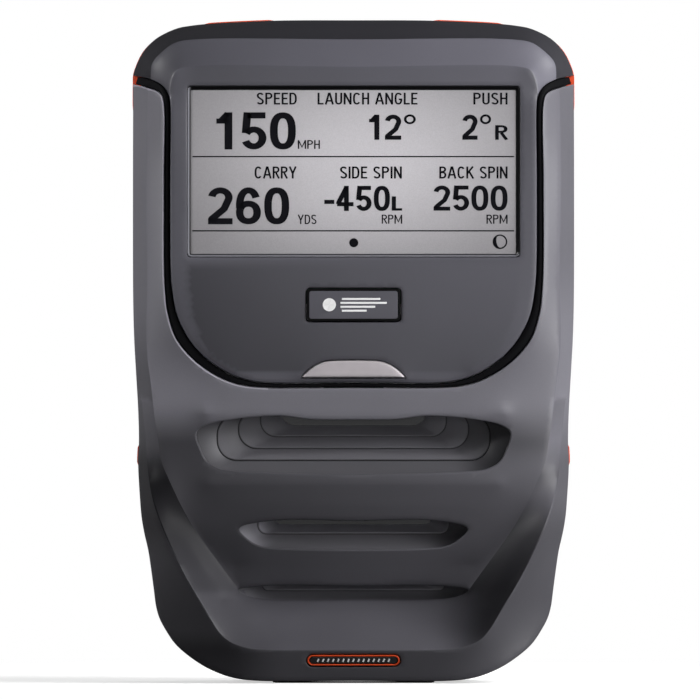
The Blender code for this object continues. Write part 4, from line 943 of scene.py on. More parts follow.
rim = shifted(top_line, -RIM)
if rim[len(rim) // 2][1] > top_line[len(top_line) // 2][1]:
    rim = shifted(top_line, RIM)
rim = rim[inside(outline_head, rim)]
lines.append(rim)
head_holes = [on_face(h) for h in (lcd_hole, badge_hole, button_hole)]
to_round = [(line, False, s) for line in (groove_line, top_line) for s in (1, -1)] + [(h, True, -1) for h in (lcd_hole, badge_hole, button_hole)]
chamfer_line, face_top_line = crease(CHAMFER, 1.0)[0], crease(FACE_TOP, 1.0)[0]
coords, y, plain, tris, kept = sheet(outline_head, lines, head_holes, STEP, 0.6, to_round, 2, [chamfer_line, face_top_line])
top_near = (nearest(tree(refine(top_line[:, :2], 0.4)), coords) < RIM + 0.05) & (coords[:, 1] > 236)
back = np.where(top_near, FRONT_RIM, np.minimum(FRONT_RIM, plain + WALL))
verts, faces = slab(coords, y, back, kept)
head = add("display_bezel_fine", verts, faces, HEADM, replaces=("display_bezel",), sharp=38)


border = np.array([(x, z) for x, z in INNER_BORDER] + [(-x, z) for x, z in reversed(INNER_BORDER)], float)


def head_painted_light(x, z, chamfer_mask, face_mask):
    # Painted light and shade: the display face lighter towards the top right and darker low down below the inner
    # border, more so on the left; the upper facet lighter and the top chamfer darker, both lighter to the right, as the
    # light falls from the right.
    face = 1.03 + (0.05 + 0.0045 * x) * smoothstep(234, 238, z) * smoothstep(70, 60, np.abs(x))
    d = nearest(tree(refine(border, 0.6)), np.stack([x, z], 1)) * np.where(inside(border, np.stack([x, z], 1)), 1, -1)
    low = smoothstep(-1.0, 1.0, d) * smoothstep(169, 163, z)
    face = face + ((0.90 + 0.0056 * np.minimum(x, 0) + 0.0030 * np.maximum(x, 0)) * (1 + (z - 160) * 0.006) - face) * low
    facet = HEAD_PAINTED_LIGHT[1] * (1.07 + 0.0055 * x)
    chamfer = HEAD_PAINTED_LIGHT[0] * (0.95 + 0.003 * x)
    return np.where(chamfer_mask > 0.5, np.where(face_mask > 0.5, HEAD_PAINTED_LIGHT[2] * face, facet), chamfer)


closed_chamfer = np.vstack([chamfer_line[:, :2], np.array([(95, 235), (95, 100), (-95, 100), (-95, 235)], float)])
closed_top = np.vstack([face_top_line[:, :2], np.array([(95, 228), (95, 100), (-95, 100), (-95, 228)], float)])
if not inside(closed_chamfer, np.array([[0.0, 200.0]]))[0]:
    closed_chamfer = np.vstack([chamfer_line[::-1, :2], np.array([(95, 235), (95, 100), (-95, 100), (-95, 235)], float)])
    closed_top = np.vstack([face_top_line[::-1, :2], np.array([(95, 228), (95, 100), (-95, 100), (-95, 228)], float)])
corner_shade(head, head_painted_light, (lambda m: inside(closed_chamfer, m).astype(float), lambda m: inside(closed_top, m).astype(float)))

# ---------------------------------------------------------------- gasket in the groove
a = groove_line[np.abs(groove_line[:, 0]) < 86.4]
b_line = spline(mirrored([tuple(p) for p in SHELL_EDGE]), 0.5)
t = tree(b_line)
ring = []
for p in a:
    q = b_line[t.find((p[0], p[1], 0))[1]]
    width = math.hypot(q[0] - p[0], q[1] - p[1])
    f = 0.32 / max(width, 0.7)
    py, qy = p[2], q[2]
    top_y = max(py, qy) + 0.9
    row = []
    for u, sink in ((f, 0.7), (f + 0.04, 0.25), (0.3, 0.0), (0.5, -0.06), (0.7, 0.0), (1 - f - 0.04, 0.25), (1 - f, 0.7)):
        row.append((p[0] + (q[0] - p[0]) * u, top_y + sink, p[1] + (q[1] - p[1]) * u))
    row.append((row[-1][0], top_y + 4, row[-1][2]))
    row.append((row[0][0], top_y + 4, row[0][2]))
    ring.append(row)
m, k = len(ring), len(ring[0])
gverts = [v for row in ring for v in row]
gfaces = [(i * k + j, i * k + (j + 1) % k, (i + 1) * k + (j + 1) % k, (i + 1) * k + j) for i in range(m - 1) for j in range(k)]
gfaces += [tuple(range(k)), tuple((m - 1) * k + j for j in range(k))[::-1]]
gasket = add("bezel_gasket_fine", gverts, gfaces, RUBBER, replaces=("bezel_gasket",), sharp=50, tidy=True)

# ---------------------------------------------------------------- display
outer = rounded(-65.75, 65.75, up(168.7), up(236.2), 1.25, n=6, step=2.0)
loops = [[(x, 2.2, z) for x, z in even(outer, 320)], [(x, 0.25, z) for x, z in even(outer, 320)]]
for g, yy in ((0.12, 0.16), (0.3, 0.2), (0.95, 0.84), (1.05, 0.95), (1.05, 2.2)):
    loops.append([(x, yy, z) for x, z in even(rounded(-65.75 + g, 65.75 - g, up(168.7) + g, up(236.2) - g, max(0.4, 1.25 - g), n=6, step=2.0), 320)])
v, f = strip(loops, True)
seal = add("display_seal_fine", v, f, SEALM, replaces=("display_seal",), sharp=30, matrix=HEAD, tidy=False)
v_ = np.array(v)
# painted light and shade: the seal's left and bottom walls much lighter, as light falls on them from the top right; the
# top and right walls darker as painted shade
lit = np.maximum(smoothstep(-64.9, -65.3, v_[:, 0]), smoothstep(up(169.7), up(169.2), v_[:, 2])) * (v_[:, 1] > 0.1)
set_shade(seal, 0.2 + 7.0 * lit)
glass = pillow("display_window_fine", rounded(-64.62, 64.3, up(169.85), up(234.8), 0.5, n=6, step=2.0), 0.9, 1.9, SCREEN, 0.1,
               None, HEAD, replaces=("display_window",))


GRID = 0.3977       # pitch of the display's layout grid, whose row 679.2 is the foot of the shell


def px(x):
    return (x - 353.5) * GRID


def pz(row):
    return (679.2 - row) * GRID + FOOT


INK_Y = 0.9


def arc(cx, cz, rx, rz, a0, a1, n=14, power=2.0):
    """Points on a (super)ellipse between two angles in degrees."""
    out = []
    for k in range(n + 1):
        a = math.radians(a0 + (a1 - a0) * k / n)
        c, s_ = math.cos(a), math.sin(a)
        out.append((cx + rx * math.copysign(abs(c) ** (2 / power), c), cz + rz * math.copysign(abs(s_) ** (2 / power), s_)))
    return out


WIDTHS = {"I": 0.0, "M": 0.72, "N": 0.55, "L": 0.42, "E": 0.44, "A": 0.60, "Y": 0.56, " ": 0.22, "1": 0.34, "-": 0.34, "°": 0.42,
          "0": 0.55, "2": 0.54, "4": 0.58, "5": 0.54, "6": 0.55, "C": 0.53, "G": 0.54, "D": 0.52, "K": 0.54}


def strokes(ch, w, t):
    """Centre lines of a character one unit tall and w wide, drawn with a pen of width t."""
    m, r = t / 2, 1 - t / 2
    c, e = w / 2, w - t / 2
    rx, rz = (w - t) / 2, (1 - t) / 2
    if ch == "0":
        return [(arc(c, 0.5, rx, rz, 0, 360, 40, 2.5)[:-1], True)]
    if ch == "1":
        return [([(e, 0), (e, 1)], False), ([(0, 0.765), (e, 0.765)], False, 0.82 * t), ([(0.30 * w, 0.79), (e - 0.2 * m, 0.97)], False, 0.8 * t)]
    if ch == "2":
        top = arc(c, r - rx * 1.02, rx, rx * 1.02, 172, -28, 18)
        return [(top + [(c + rx * 0.45, 0.42), (c - rx * 0.35, 0.27), (m + 0.01, m * 1.9), (m + 0.0, m)], False), ([(0, m), (w, m)], False)]
    if ch == "4":
        x = w - 0.16 - m
        return [([(x, 0), (x, 1)], False), ([(x, 0.93), (m * 0.9, 0.34), (m * 0.75, 0.27)], False), ([(0.02, 0.27), (w, 0.27)], False)]
    if ch == "5":
        rb = (0.62 - t) / 2
        return [([(m + 0.05, r), (w - 0.02, r)], False), ([(m + 0.055, 1), (m + 0.015, 0.44)], False), (arc(c, m + rb, rx, rb, 148, -158, 24), False)]
    if ch == "6":
        rb = (0.64 - t) / 2
        return [(arc(c, m + rb, rx, rb, 0, 360, 36, 2.2)[:-1], True), (arc(c, 0.5, rx, rz, 30, 188, 20, 2.2), False)]
    if ch == "°":
        return [(arc(c, 0.815, 0.155, 0.155, 0, 360, 28)[:-1], True, 0.085)]
    if ch == "-":
        return [([(0, 0.36), (w, 0.36)], False)]
    if ch == "A":
        return [([(m * 0.7, 0), (c - m * 0.25, 1)], False), ([(w - m * 0.7, 0), (c + m * 0.25, 1)], False), ([(0.2 * w, 0.31), (0.8 * w, 0.31)], False)]
    if ch == "B":
        return [([(m, 0), (m, 1)], False), ([(m, r), (c, r)] + arc(c, 0.755, rx * 0.92, r - 0.755, 90, -90, 10)[1:] + [(m, 0.51)], False),
                ([(m, 0.51), (c, 0.51)] + arc(c, 0.255 + m / 2, rx, 0.255 - m / 2, 90, -90, 10)[1:] + [(m, m)], False)]
    if ch == "C":
        return [(arc(c, 0.5, rx, rz, 38, 322, 30, 2.6), False)]
    if ch == "D":
        return [([(m, 0), (m, 1)], False), ([(m, r), (c * 0.8, r)] + arc(c * 0.8, 0.5, e - c * 0.8, rz, 90, -90, 18, 2.5)[1:] + [(m, m)], False)]
    if ch == "E":
        return [([(m, 0), (m, 1)], False)] + [([(m, z), (x, z)], False) for z, x in ((r, w), (0.51, w * 0.9), (m, w))]
    if ch == "G":
        return [(arc(c, 0.5, rx, rz, 38, 345, 32, 2.6) + [(e, 0.44), (c + 0.02, 0.44)], False)]
    if ch == "H":
        return [([(m, 0), (m, 1)], False), ([(e, 0), (e, 1)], False), ([(m, 0.52), (e, 0.52)], False)]
    if ch == "I":
        return [([(m, 0), (m, 1)], False)]
    if ch == "K":
        return [([(m, 0), (m, 1)], False), ([(m, 0.40), (e, 1)], False), ([(0.36 * w, 0.60), (w - m * 0.6, 0)], False)]
    if ch == "L":
        return [([(m, 0), (m, 1)], False), ([(m, m), (w, m)], False)]
    if ch == "M":
        return [([(m, 0), (m, 1)], False), ([(e, 0), (e, 1)], False), ([(m, 0.98), (c, 0.20), (e, 0.98)], False)]
    if ch == "N":
        return [([(m, 0), (m, 1)], False), ([(e, 0), (e, 1)], False), ([(m, 0.97), (e, 0.03)], False)]
    if ch in "PR":
        out = [([(m, 0), (m, 1)], False), ([(m, r), (c, r)] + arc(c, 0.735, rx, r - 0.735, 90, -90, 12, 2.2)[1:] + [(m, 2 * 0.735 - r)], False)]
        return out + ([([(c, 0.47), (w - m * 0.5, 0)], False)] if ch == "R" else [])
    if ch == "S":
        hi = arc(c, 0.745, rx * 0.96, r - 0.745, 22, 235, 16, 2.2)
        lo = arc(c, 0.255, rx, 0.255 - m, 55, -160, 16, 2.2)
        return [(hi + lo, False)]
    if ch == "U":
        return [([(m, 1)] + arc(c, m + 0.24, rx, 0.24, 180, 360, 16, 2.3) + [(e, 1)], False)]
    if ch == "Y":
        return [([(m * 0.8, 1), (c, 0.42)], False), ([(w - m * 0.8, 1), (c, 0.42)], False), ([(c, 0.48), (c, 0)], False)]
    return []


def ribbon(points, closed, t, place, y0, y1):
    """A thin raised line of width t along a polyline: vertices and faces of a closed strip."""
    p = np.array(points, float)
    keep = [0] + [i for i in range(1, len(p)) if math.hypot(*(p[i] - p[i - 1])) > 1e-4]
    p = p[keep]
    n_ = len(p)
    left, right = [], []
    for i in range(n_):
        a_ = p[i] - p[i - 1] if (i or closed) else p[1] - p[0]
        b_ = p[(i + 1) % n_] - p[i] if (i < n_ - 1 or closed) else p[-1] - p[-2]
        a_, b_ = a_ / math.hypot(*a_), b_ / math.hypot(*b_)
        q = np.array([-(a_[1] + b_[1]), a_[0] + b_[0]])
        q /= max(1e-6, math.hypot(*q))
        k = min(1.6, 1 / max(0.3, q @ np.array([-a_[1], a_[0]]))) * t / 2
        left.append(p[i] + q * k)
        right.append(p[i] - q * k)
    verts_, faces_ = [], []
    for a_, b_ in zip(left, right):
        (ax_, az_), (bx_, bz_) = place(a_), place(b_)
        verts_ += [(ax_, y0, az_), (bx_, y0, bz_), (bx_, y1, bz_), (ax_, y1, az_)]
    for i in range(n_ if closed else n_ - 1):
        j = (i + 1) % n_
        for k in range(4):
            q = (k + 1) % 4
            faces_.append((4 * i + k, 4 * i + q, 4 * j + q, 4 * j + k))
    if not closed:
        faces_ += [(3, 2, 1, 0), (4 * n_ - 4, 4 * n_ - 3, 4 * n_ - 2, 4 * n_ - 1)]
    return verts_, faces_


ink_verts, ink_faces = [], []


def raise_line(points, closed, t, place, y0=None, y1=None):
    v_, f_ = ribbon(points, closed, t, place, INK_Y - 0.05 if y0 is None else y0, INK_Y - 0.015 if y1 is None else y1)
    base_ = len(ink_verts)
    ink_verts.extend(v_)
    ink_faces.extend(tuple(i + base_ for i in f) for f in f_)


def word(text, x0, x1, y0, y1, pen, gap=0.13, squeeze=1.0):
    """Readout characters between two columns and two rows of the display's layout grid."""
    widths = [WIDTHS.get(ch, 0.50) if ch != "I" else pen for ch in text]
    total = sum(widths) + gap * (len(text) - 1) + (0.11 if text.startswith("1") else 0)
    tall = (y1 - y0) * GRID / math.cos(LEAN)
    sx = (x1 - x0) * GRID / total
    zero_x, zero_z, x = px(x0), up(pz(y1)), 0.0
    for ch, w in zip(text, widths):
        for k, (points, closed, *own_pen) in enumerate(strokes(ch, w, pen)):
            raise_line(points, closed, own_pen[0] if own_pen else pen, lambda q, x=x: (zero_x + (x + q[0]) * sx, zero_z + q[1] * tall),
                       y1=INK_Y - 0.015 + 0.006 * (k % 4))
        x += w + gap + (0.11 if ch == "1" else 0)


READOUT = [("SPEED", 257, 297, 93.4, 105.2, 0.135), ("LAUNCH ANGLE", 317.7, 417.3, 93.4, 105.2, 0.135), ("PUSH", 473, 507, 93.4, 105.2, 0.135),
           ("150", 216.8, 296, 113, 150, 0.165), ("MPH", 298, 320, 140.7, 149.4, 0.12), ("12°", 369, 416, 115.3, 140.3, 0.165),
           ("2°", 462, 491, 115.3, 140.3, 0.165), ("R", 494.7, 507, 125.8, 140.3, 0.145),
           ("CARRY", 255, 296.7, 167, 179, 0.135), ("SIDE SPIN", 340, 401.7, 167, 179, 0.135), ("BACK SPIN", 439, 507, 167, 179, 0.135),
           ("260", 208.6, 289.4, 187.8, 224.6, 0.165), ("YDS", 298, 316.6, 215, 224.4, 0.12), ("-450", 324.4, 389.8, 186.3, 211.3, 0.165),
           ("L", 391.6, 402, 196.8, 211.0, 0.17), ("RPM", 381.6, 402, 215, 224, 0.12), ("2500", 433.3, 507, 186, 211, 0.158), ("RPM", 486, 507, 215, 224, 0.12)]
for row in READOUT:
    word(*row, gap=0.075 if row[5] > 0.14 else 0.10)
flat_place = lambda q: (q[0], q[1])
for row in (157.1, 231.1):
    raise_line([(px(193), up(pz(row))), (px(513.5), up(pz(row)))], False, 0.5, flat_place)
cx, cz, r = px(353.7), up(pz(243)), 4.5 * GRID
raise_line([(cx - r * 0.5 * math.cos(t), cz - r * 0.5 * math.sin(t)) for t in np.linspace(0, 2 * math.pi, 29)[:-1]], True, r, flat_place)
# ball icon: a thin ring with a shaded crescent on its upper left
cx, cz, r = px(499.4), up(pz(242)), 7.1 * GRID
raise_line([(cx + (r - 0.2) * math.cos(t), cz + (r - 0.2) * math.sin(t)) for t in np.linspace(0, 2 * math.pi, 41)[:-1]], True, 0.55, flat_place)
for k in range(5):
    rr_, spread_ = r - 0.40 - 0.22 * k, 80 - 12 * k
    raise_line([(cx + rr_ * math.cos(t), cz + rr_ * math.sin(t)) for t in np.radians(np.linspace(192 - spread_, 192 + spread_, 18))], False, 0.24, flat_place)
readout = add("display_readout", ink_verts, ink_faces, INK, matrix=HEAD, tidy=False)

# Generic white marks: a ball and motion lines on the badge, short dashes on the base pill.
ink_verts, ink_faces = [], []
zc = up(149.6)
raise_line([(-9.6 - 1.3 * math.cos(t), zc - 1.3 * math.sin(t)) for t in np.linspace(0, 2 * math.pi, 33)[:-1]], True, 2.6, flat_place, -0.68, -0.5)
for dz_, a_, b_ in ((2.3, -4.6, 10.6), (0.75, -5.2, 13.2), (-0.8, -5.2, 8.6), (-2.35, -4.6, 5.2)):
    raise_line([(a_, zc + dz_), (b_, zc + dz_)], False, 0.78, flat_place, -0.68, -0.5)
marks = add("badge_marks", ink_verts, ink_faces, WHITE, matrix=HEAD, tidy=False)


def merge(name, parts, body, mat=None, replaces=()):
    """Joins loose pieces into one object that rides on a body."""
    verts, faces, smooth, offset = [], [], [], 0
    for p in parts:
        m_ = p.matrix_world
        verts += [tuple(m_ @ v.co) for v in p.data.vertices]
        faces += [tuple(i + offset for i in f.vertices) for f in p.data.polygons]
        offset = len(verts)
        mat = mat or p.data.materials[0]
        bpy.data.objects.remove(p)
    mesh = bpy.data.meshes.new(name)
    mesh.from_pydata(verts, [], faces)
    mesh.materials.append(mat)
    mesh.shade_smooth()
    mesh.set_sharp_from_angle(angle=math.radians(35))
    obj = bpy.data.objects.new(name, mesh)
    bpy.context.collection.objects.link(obj)
    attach(obj, body)
    if replaces:
        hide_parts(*replaces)
    return obj


# ---------------------------------------------------------------- badge and select button
badge = pillow("badge_plate_fine", rounded(-18.5, 18.5, up(143.1), up(156.0), 1.5, n=8, step=1.5), -0.5, 3.4, MATTE, 0.2,
               None, HEAD, replaces=("badge_plate",))
badge_face = pillow("badge_face_fine", rounded(-17.5, 17.5, up(144.05), up(155.05), 0.9, n=8, step=1.5), -0.60, 0.4, BADGE, 0.1,
                    None, HEAD)

loops = []
mid_z = up(123.0)
base_loop = [(x, up(z)) for x, z in button_fine]
for s, yy in ((1.0, 3.6), (1.0, -0.15), (0.995, -0.42), (0.982, -0.66), (0.96, -0.84), (0.92, -0.97), (0.84, -1.08),
              (0.7, -1.16), (0.5, -1.2), (0.25, -1.22)):
    loops.append([(x * s, yy, mid_z + (z - mid_z) * s) for x, z in base_loop])
bv, bf = strip(loops, False, True, True)
button = add("select_button_fine", bv, bf, SILVER, "select_key", 45, ("select_button",), HEAD, tidy=True)

# ---------------------------------------------------------------- base badge
band = 4.0 / 12.4
LIP = Matrix.Translation((0, (-57.0 + band * (13.2 - 8.95)) * MM, 8.95 * MM)) @ Matrix.Rotation(math.atan(band), 4, "X")
pill = pillow("base_badge_fine", rounded(-17.3, 17.3, -1.35, 1.35, 1.3, n=10, step=1.5), 0.1, 4.0, GLOSSB, 0.25, None, LIP,
              replaces=("base_badge",))
pill_line = pillow("base_badge_outline_fine", rounded(-18.2, 18.2, -2.1, 2.1, 2.05, n=12, step=1.2), -0.1, 0.6, ORANGE, 0.12,
                   rounded(-17.65, 17.65, -1.68, 1.68, 1.6, n=12, step=1.2), LIP, replaces=("base_badge_outline",))

ink_verts, ink_faces = [], []
for k in range(15):
    x = -14.0 + 2.0 * k
    raise_line([(x - 0.25, -0.62), (x + 0.25, 0.62)], False, 0.62, flat_place, 0.02, 0.2)
pill_marks = add("base_badge_marks", ink_verts, ink_faces, WHITE, matrix=LIP, tidy=False)

# ---------------------------------------------------------------- trim ring
ring_line = loop_of(OUTLINE, 1.0)
normal_out = ring_line[:, :2] - shifted(ring_line, 1.0, True)
ax, az = np.abs(ring_line[:, 0]), ring_line[:, 1]
proud = np.full(len(ring_line), -0.45)
TONGUE = RIM + 0.3
top_part = smoothstep(29, 34, ax) * smoothstep(62, 57, ax) * (az > 250)
side_part = (smoothstep(222, 230, az) * smoothstep(262, 250, az)) * (ax > 60)
tick = smoothstep(85, 87, az) * smoothstep(95, 93, az)
proud = proud + np.maximum(top_part * 0.87, np.maximum(side_part * 0.67, tick * 0.92))
loops = []
# a tongue along its inner side stands up inside both shells, so no light passes through the joint
for d, yy in ((-TONGUE - 0.5, FRONT_RIM - 1.0), (-TONGUE, FRONT_RIM - 1.0), (-TONGUE, FRONT_RIM + 0.3),
              (-0.12, FRONT_RIM + 0.3), (0.0, FRONT_RIM + 0.42), (0.0, REAR_RIM - 0.42), (-0.12, REAR_RIM - 0.3),
              (-TONGUE, REAR_RIM - 0.3), (-TONGUE, REAR_RIM + 1.0), (-TONGUE - 0.5, REAR_RIM + 1.0)):
    k = proud if d > -1 else 0 * proud
    loops.append([(x + nx * (p + d), yy, z + nz * (p + d)) for (x, z), (nx, nz), p in zip(ring_line[:, :2], normal_out, k)])
tv, tf = strip(loops, True)
trim = add("trim_ring_fine", tv, tf, ORANGE, replaces=("trim_ring",), sharp=40, tidy=True)

# ---------------------------------------------------------------- rear shell
MID_Z = 131.8


def mixed(d, deep):
    out = []
    for x, z in OUTLINE:
        fx, fz = 1 - d / 87.7, 1 - d / 131.0
        e = ramp(REAR_TABLE, z)
        out.append((x * fx, MID_Z + (z - MID_Z) * fz, -(e + (REAR - e) * deep)))
    return out


outline_rear = loop_of([(x, z, -ramp(REAR_TABLE, z)) for x, z in OUTLINE], 1.2)
lines = []
for line in (mixed(6.5, 0.62), mixed(14, 0.90), mixed(24, 1.0)):
    c = loop_of(line, 1.4)
    lines.append(np.vstack([c, c[0]]))
c = shifted(outline_rear, RIM, True)
lines.append(np.vstack([c, c[0]]))
door_hole = np.array([(DOOR_X0, 92.0), (DOOR_X1, 92.0), (DOOR_X1, 92.8), (DOOR_X1 + 2.4, 92.8), (DOOR_X1 + 2.4, 96.0), (DOOR_X1, 96.0),
                      (DOOR_X1, 112.0), (DOOR_X0, 112.0), (DOOR_X0, 96.0), (DOOR_X0 - 2.4, 96.0), (DOOR_X0 - 2.4, 92.8), (DOOR_X0, 92.8)])
rear_holes = [door_hole, circle(POWER[0], POWER[1], 7.4, 48)] + [circle(x, z, 3.9, 32) for x, z in SCREWS]
rear_holes += [rounded(-34, 34, z, z + 3.0, 1.4, n=6, step=2.0) for z in (180, 187, 194, 201, 208)]
rear_holes = [np.column_stack([h, np.full(len(h), -REAR)]) for h in rear_holes]
to_round = [(h, True, -1) for h in rear_holes[1:]] + [(outline_rear, True, 1)]
coords, y, plain, tris, kept = sheet(outline_rear, lines, rear_holes, STEP * 1.25, 0.7, to_round, soften=4)
near = nearest(tree(refine(outline_rear[:, :2], 0.4)), coords) < RIM + 0.05
back = np.where(near, -REAR_RIM, np.minimum(-REAR_RIM, plain + WALL))
verts, faces = slab(coords, y, back, kept, flip=True)
rear = add("rear_shell_fine", verts, faces, REARP, replaces=("rear_shell",), sharp=38)


def cut(obj, profile):
    tool = lathe("tool", profile, BLACK, "z", (0, 39.0, 0), 72)
    mod = obj.modifiers.new("cut", "BOOLEAN")
    mod.operation, mod.object, mod.solver = "DIFFERENCE", tool, "EXACT"
    bpy.context.view_layer.update()
    graph = bpy.context.evaluated_depsgraph_get()
    mesh = bpy.data.meshes.new_from_object(obj.evaluated_get(graph))
    obj.modifiers.clear()
    obj.data = mesh
    bpy.data.objects.remove(tool)
    while len(mesh.materials) > 1:
        mesh.materials.pop()
    mesh.shade_smooth()
    mesh.set_sharp_from_angle(angle=math.radians(38))


cut(rear, [(0, -3), (10.4, -3), (10.4, 5), (0, 5)])
cut(rear, [(0, 3.95), (16.0, 3.95), (16.0, 10.7), (0, 10.7)])

# ---------------------------------------------------------------- hoods
COUNT = 168


def hood(name, node, slot, rings, extra, ring_painted_light=(1.1, 1.5, 2.2, 2.6), mouth_painted_light=1.0, left_end_painted_light=0.0):
    mouth = even(loop_of([(p[0], p[1]) for p in slot], 0.6), COUNT)
    rim_y = interp(*shell_sheet, mouth) + WALL + 0.8 + extra
    half_z = mouth[:, 1].mean()
    lip = np.stack([mouth[:, 0] * 1.035, mouth[:, 1] + np.where(mouth[:, 1] > half_z, 0.9, -0.9)], 1)
    lip_y = interp(*shell_sheet, lip) + WALL + 0.8 + extra
    flat = float(interp(*shell_sheet, [(0, mouth[0][1])])[0]) + WALL + 0.8 + extra
    loops = [[(x, y_, z) for (x, z), y_ in zip(lip, lip_y)], [(x, y_, z) for (x, z), y_ in zip(mouth, rim_y)]]
    # Painted light and shade: the lip and mouth get their own factor, each deeper ring is painted lighter to make up
    # for the shade inside the slot, and the narrow step faces are painted darker as shadow lines.
    tone = [mouth_painted_light, mouth_painted_light]
    last = None
    for i, (a_, z0, z1, d) in enumerate(rings):
        r = min(8.0, (z1 - z0) / 2 - 0.3)
        ring_ = even(rounded(-a_, a_, z0, z1, r, n=12), COUNT)
        y_ = flat + d
        for inset_, dy, s in ((-0.5, -0.35, 1.0), (0.0, 0.0, 0.9), (0.0, 0.9, 0.4)):
            p = shifted(ring_, inset_, True)
            loops.append([(x, y_ + dy, z) for x, z in p])
            tone.append(s * ring_painted_light[i])
        if i < len(rings) - 1:
            for inset_, dy, s in ((0.42, 0.95, 0.35), (0.47, 0.35, 0.8), (0.85, 0.3, 1.0)):
                p = shifted(ring_, inset_, True)
                loops.append([(x, y_ + dy, z) for x, z in p])
                tone.append(s * ring_painted_light[i + 1] * 0.9)
        last = y_ + 0.7
    loops[-1] = [(x, last, z) for x, _, z in loops[-1]]
    # painted shade: the backs behind the rings darker
    a_, z0, z1, _ = rings[-1]
    r = min(9.0, (z1 - z0) / 2 + 1.2)
    loops.append([(x, last, z) for x, z in even(rounded(-a_ - 1.8, a_ + 1.8, z0 - 1.8, z1 + 1.8, r, n=12), COUNT)])
    tone.append(0.3)
    for a_, z0, z1, d in reversed(rings[:-1]):
        r = min(9.0, (z1 - z0) / 2 + 1.2)
        loops.append([(x, flat + d + 1.9, z) for x, z in even(rounded(-a_ - 2.2, a_ + 2.2, z0 - 2.2, z1 + 2.2, r, n=12), COUNT)])
        tone.append(0.3)
    v, f = strip(loops, True)
    obj = add(name, v, f, HOODM, replaces=(node,), sharp=40)
    bm = bmesh.new()
    bm.from_mesh(obj.data)
    bmesh.ops.recalc_face_normals(bm, faces=bm.faces)
    bm.to_mesh(obj.data)
    bm.free()
    x_ = np.array([p[0] for p in v])
    z_ = np.array([p[2] for p in v])
    half = mouth[:, 0].max()
    # painted shade on the right end and painted light on the left end of the hood, as the light comes from the right
    shade_ = np.repeat(tone, COUNT) * (1 - 0.6 * smoothstep(0.62 * half, 0.9 * half, x_)) * (1 + left_end_painted_light * smoothstep(-0.7 * half, -0.9 * half, x_))
    set_shade(obj, shade_)
    return obj


HOODM = plastic("hood_plastic_stepped", (0.105, 0.103, 0.115), 0.5, shade=True)
hood("hood_upper_fine", "hood_upper", SLOT_1, HOOD_1, 0.0, (0.88, 1.42, 2.2, 2.6), 0.74, 0.34)
hood("hood_middle_fine", "hood_middle", SLOT_2, HOOD_2, 0.0, (2.0, 3.4), 1.0, 1.5)
hood("hood_lower_fine", "hood_lower", SLOT_3, HOOD_3, 0.9, (2.4, 4.0), 2.0, 0.4)

# ---------------------------------------------------------------- rear details
TURN = Matrix.Rotation(math.pi, 4, "Z")
leaf = pillow("leaf", rounded(-59.6, -12.4, 94.4, 111.5, 0.6, 1.4, n=6, step=2.0), -55.0, -52.4, BLACK, 0.35, None, TURN)
ribs = [pillow("rib", rounded(-44, -28, z, z + 0.9, 0.44, n=6, step=1.5), -55.35, -54.8, BLACK, 0.25, None, TURN) for z in (103.4, 105.2, 107.0, 108.8)]
barrel = lathe("barrel", [(0, 12.4), (1.6, 12.4), (1.9, 12.7), (1.9, 59.3), (1.6, 59.6), (0, 59.6)], BLACK, "x", (0, *DOOR_AXIS), 32)
bpy.context.view_layer.update()
door = merge("port_door_fine", [leaf, barrel] + ribs, "door", BLACK, ("port_door",))
lathe("power_ring_fine", [(5.5, 52.0), (7.0, 52.0), (7.0, 55.3), (6.85, 55.6), (6.5, 55.8), (5.9, 55.8), (5.6, 55.6), (5.5, 55.3)],
      ORANGE, "y", (POWER[0], 0, POWER[1]), 72, replaces=("power_ring",))
lathe("power_button_fine", [(0, 50.2), (6.6, 50.2), (6.6, 51.4), (5.1, 51.4), (5.1, 56.2), (4.95, 56.6), (4.6, 56.9), (4.1, 57.0), (3.0, 56.7), (1.5, 56.52), (0, 56.48)],
      BLACK, "y", (POWER[0], 0, POWER[1]), 72, "power_key", ("power_button",))
arc = [(2.1 * math.cos(t), 2.1 * math.sin(t)) for t in np.linspace(math.radians(125), math.radians(415), 40)]
arc += [(1.6 * math.cos(t), 1.6 * math.sin(t)) for t in np.linspace(math.radians(415), math.radians(125), 40)]
mark = [pillow("m1", np.array([(-x + 40.0, z + POWER[1]) for x, z in arc][::-1]), -56.72, -56.2, SILVER, 0.02, None, TURN),
        pillow("m2", rounded(39.75, 40.25, POWER[1] + 0.6, POWER[1] + 2.7, 0.2, n=3), -56.72, -56.2, SILVER, 0.02, None, TURN)]
bpy.context.view_layer.update()
merge("power_mark", mark, "power_key", SILVER)


def polygon_r(t, n, r):
    """Radius of a regular polygon at an angle."""
    s = 2 * math.pi / n
    return r * math.cos(s / 2) / math.cos((t % s) - s / 2)


for (x0, z0), node in zip(SCREWS, ("screw_upper_left", "screw_upper_right", "screw_lower_left", "screw_lower_right")):
    loops = []
    angles = [2 * math.pi * k / 72 for k in range(72)]
    for r, yy in ((1.5, 30), (1.5, 50.6), (3.4, 50.6), (3.4, 53.2), (3.3, 53.5), (3.05, 53.75), (2.7, 53.85)):
        loops.append([(x0 + r * math.cos(t), yy, z0 + r * math.sin(t)) for t in angles])
    for r, yy in ((1.85, 53.85), (1.7, 53.6), (1.7, 52.0)):
        loops.append([(x0 + polygon_r(t, 6, r) * math.cos(t), yy, z0 + polygon_r(t, 6, r) * math.sin(t)) for t in angles])
    v, f = strip(loops, False, True, True)
    add(node + "_fine", v, f, STEEL, replaces=(node,), sharp=35, tidy=True)

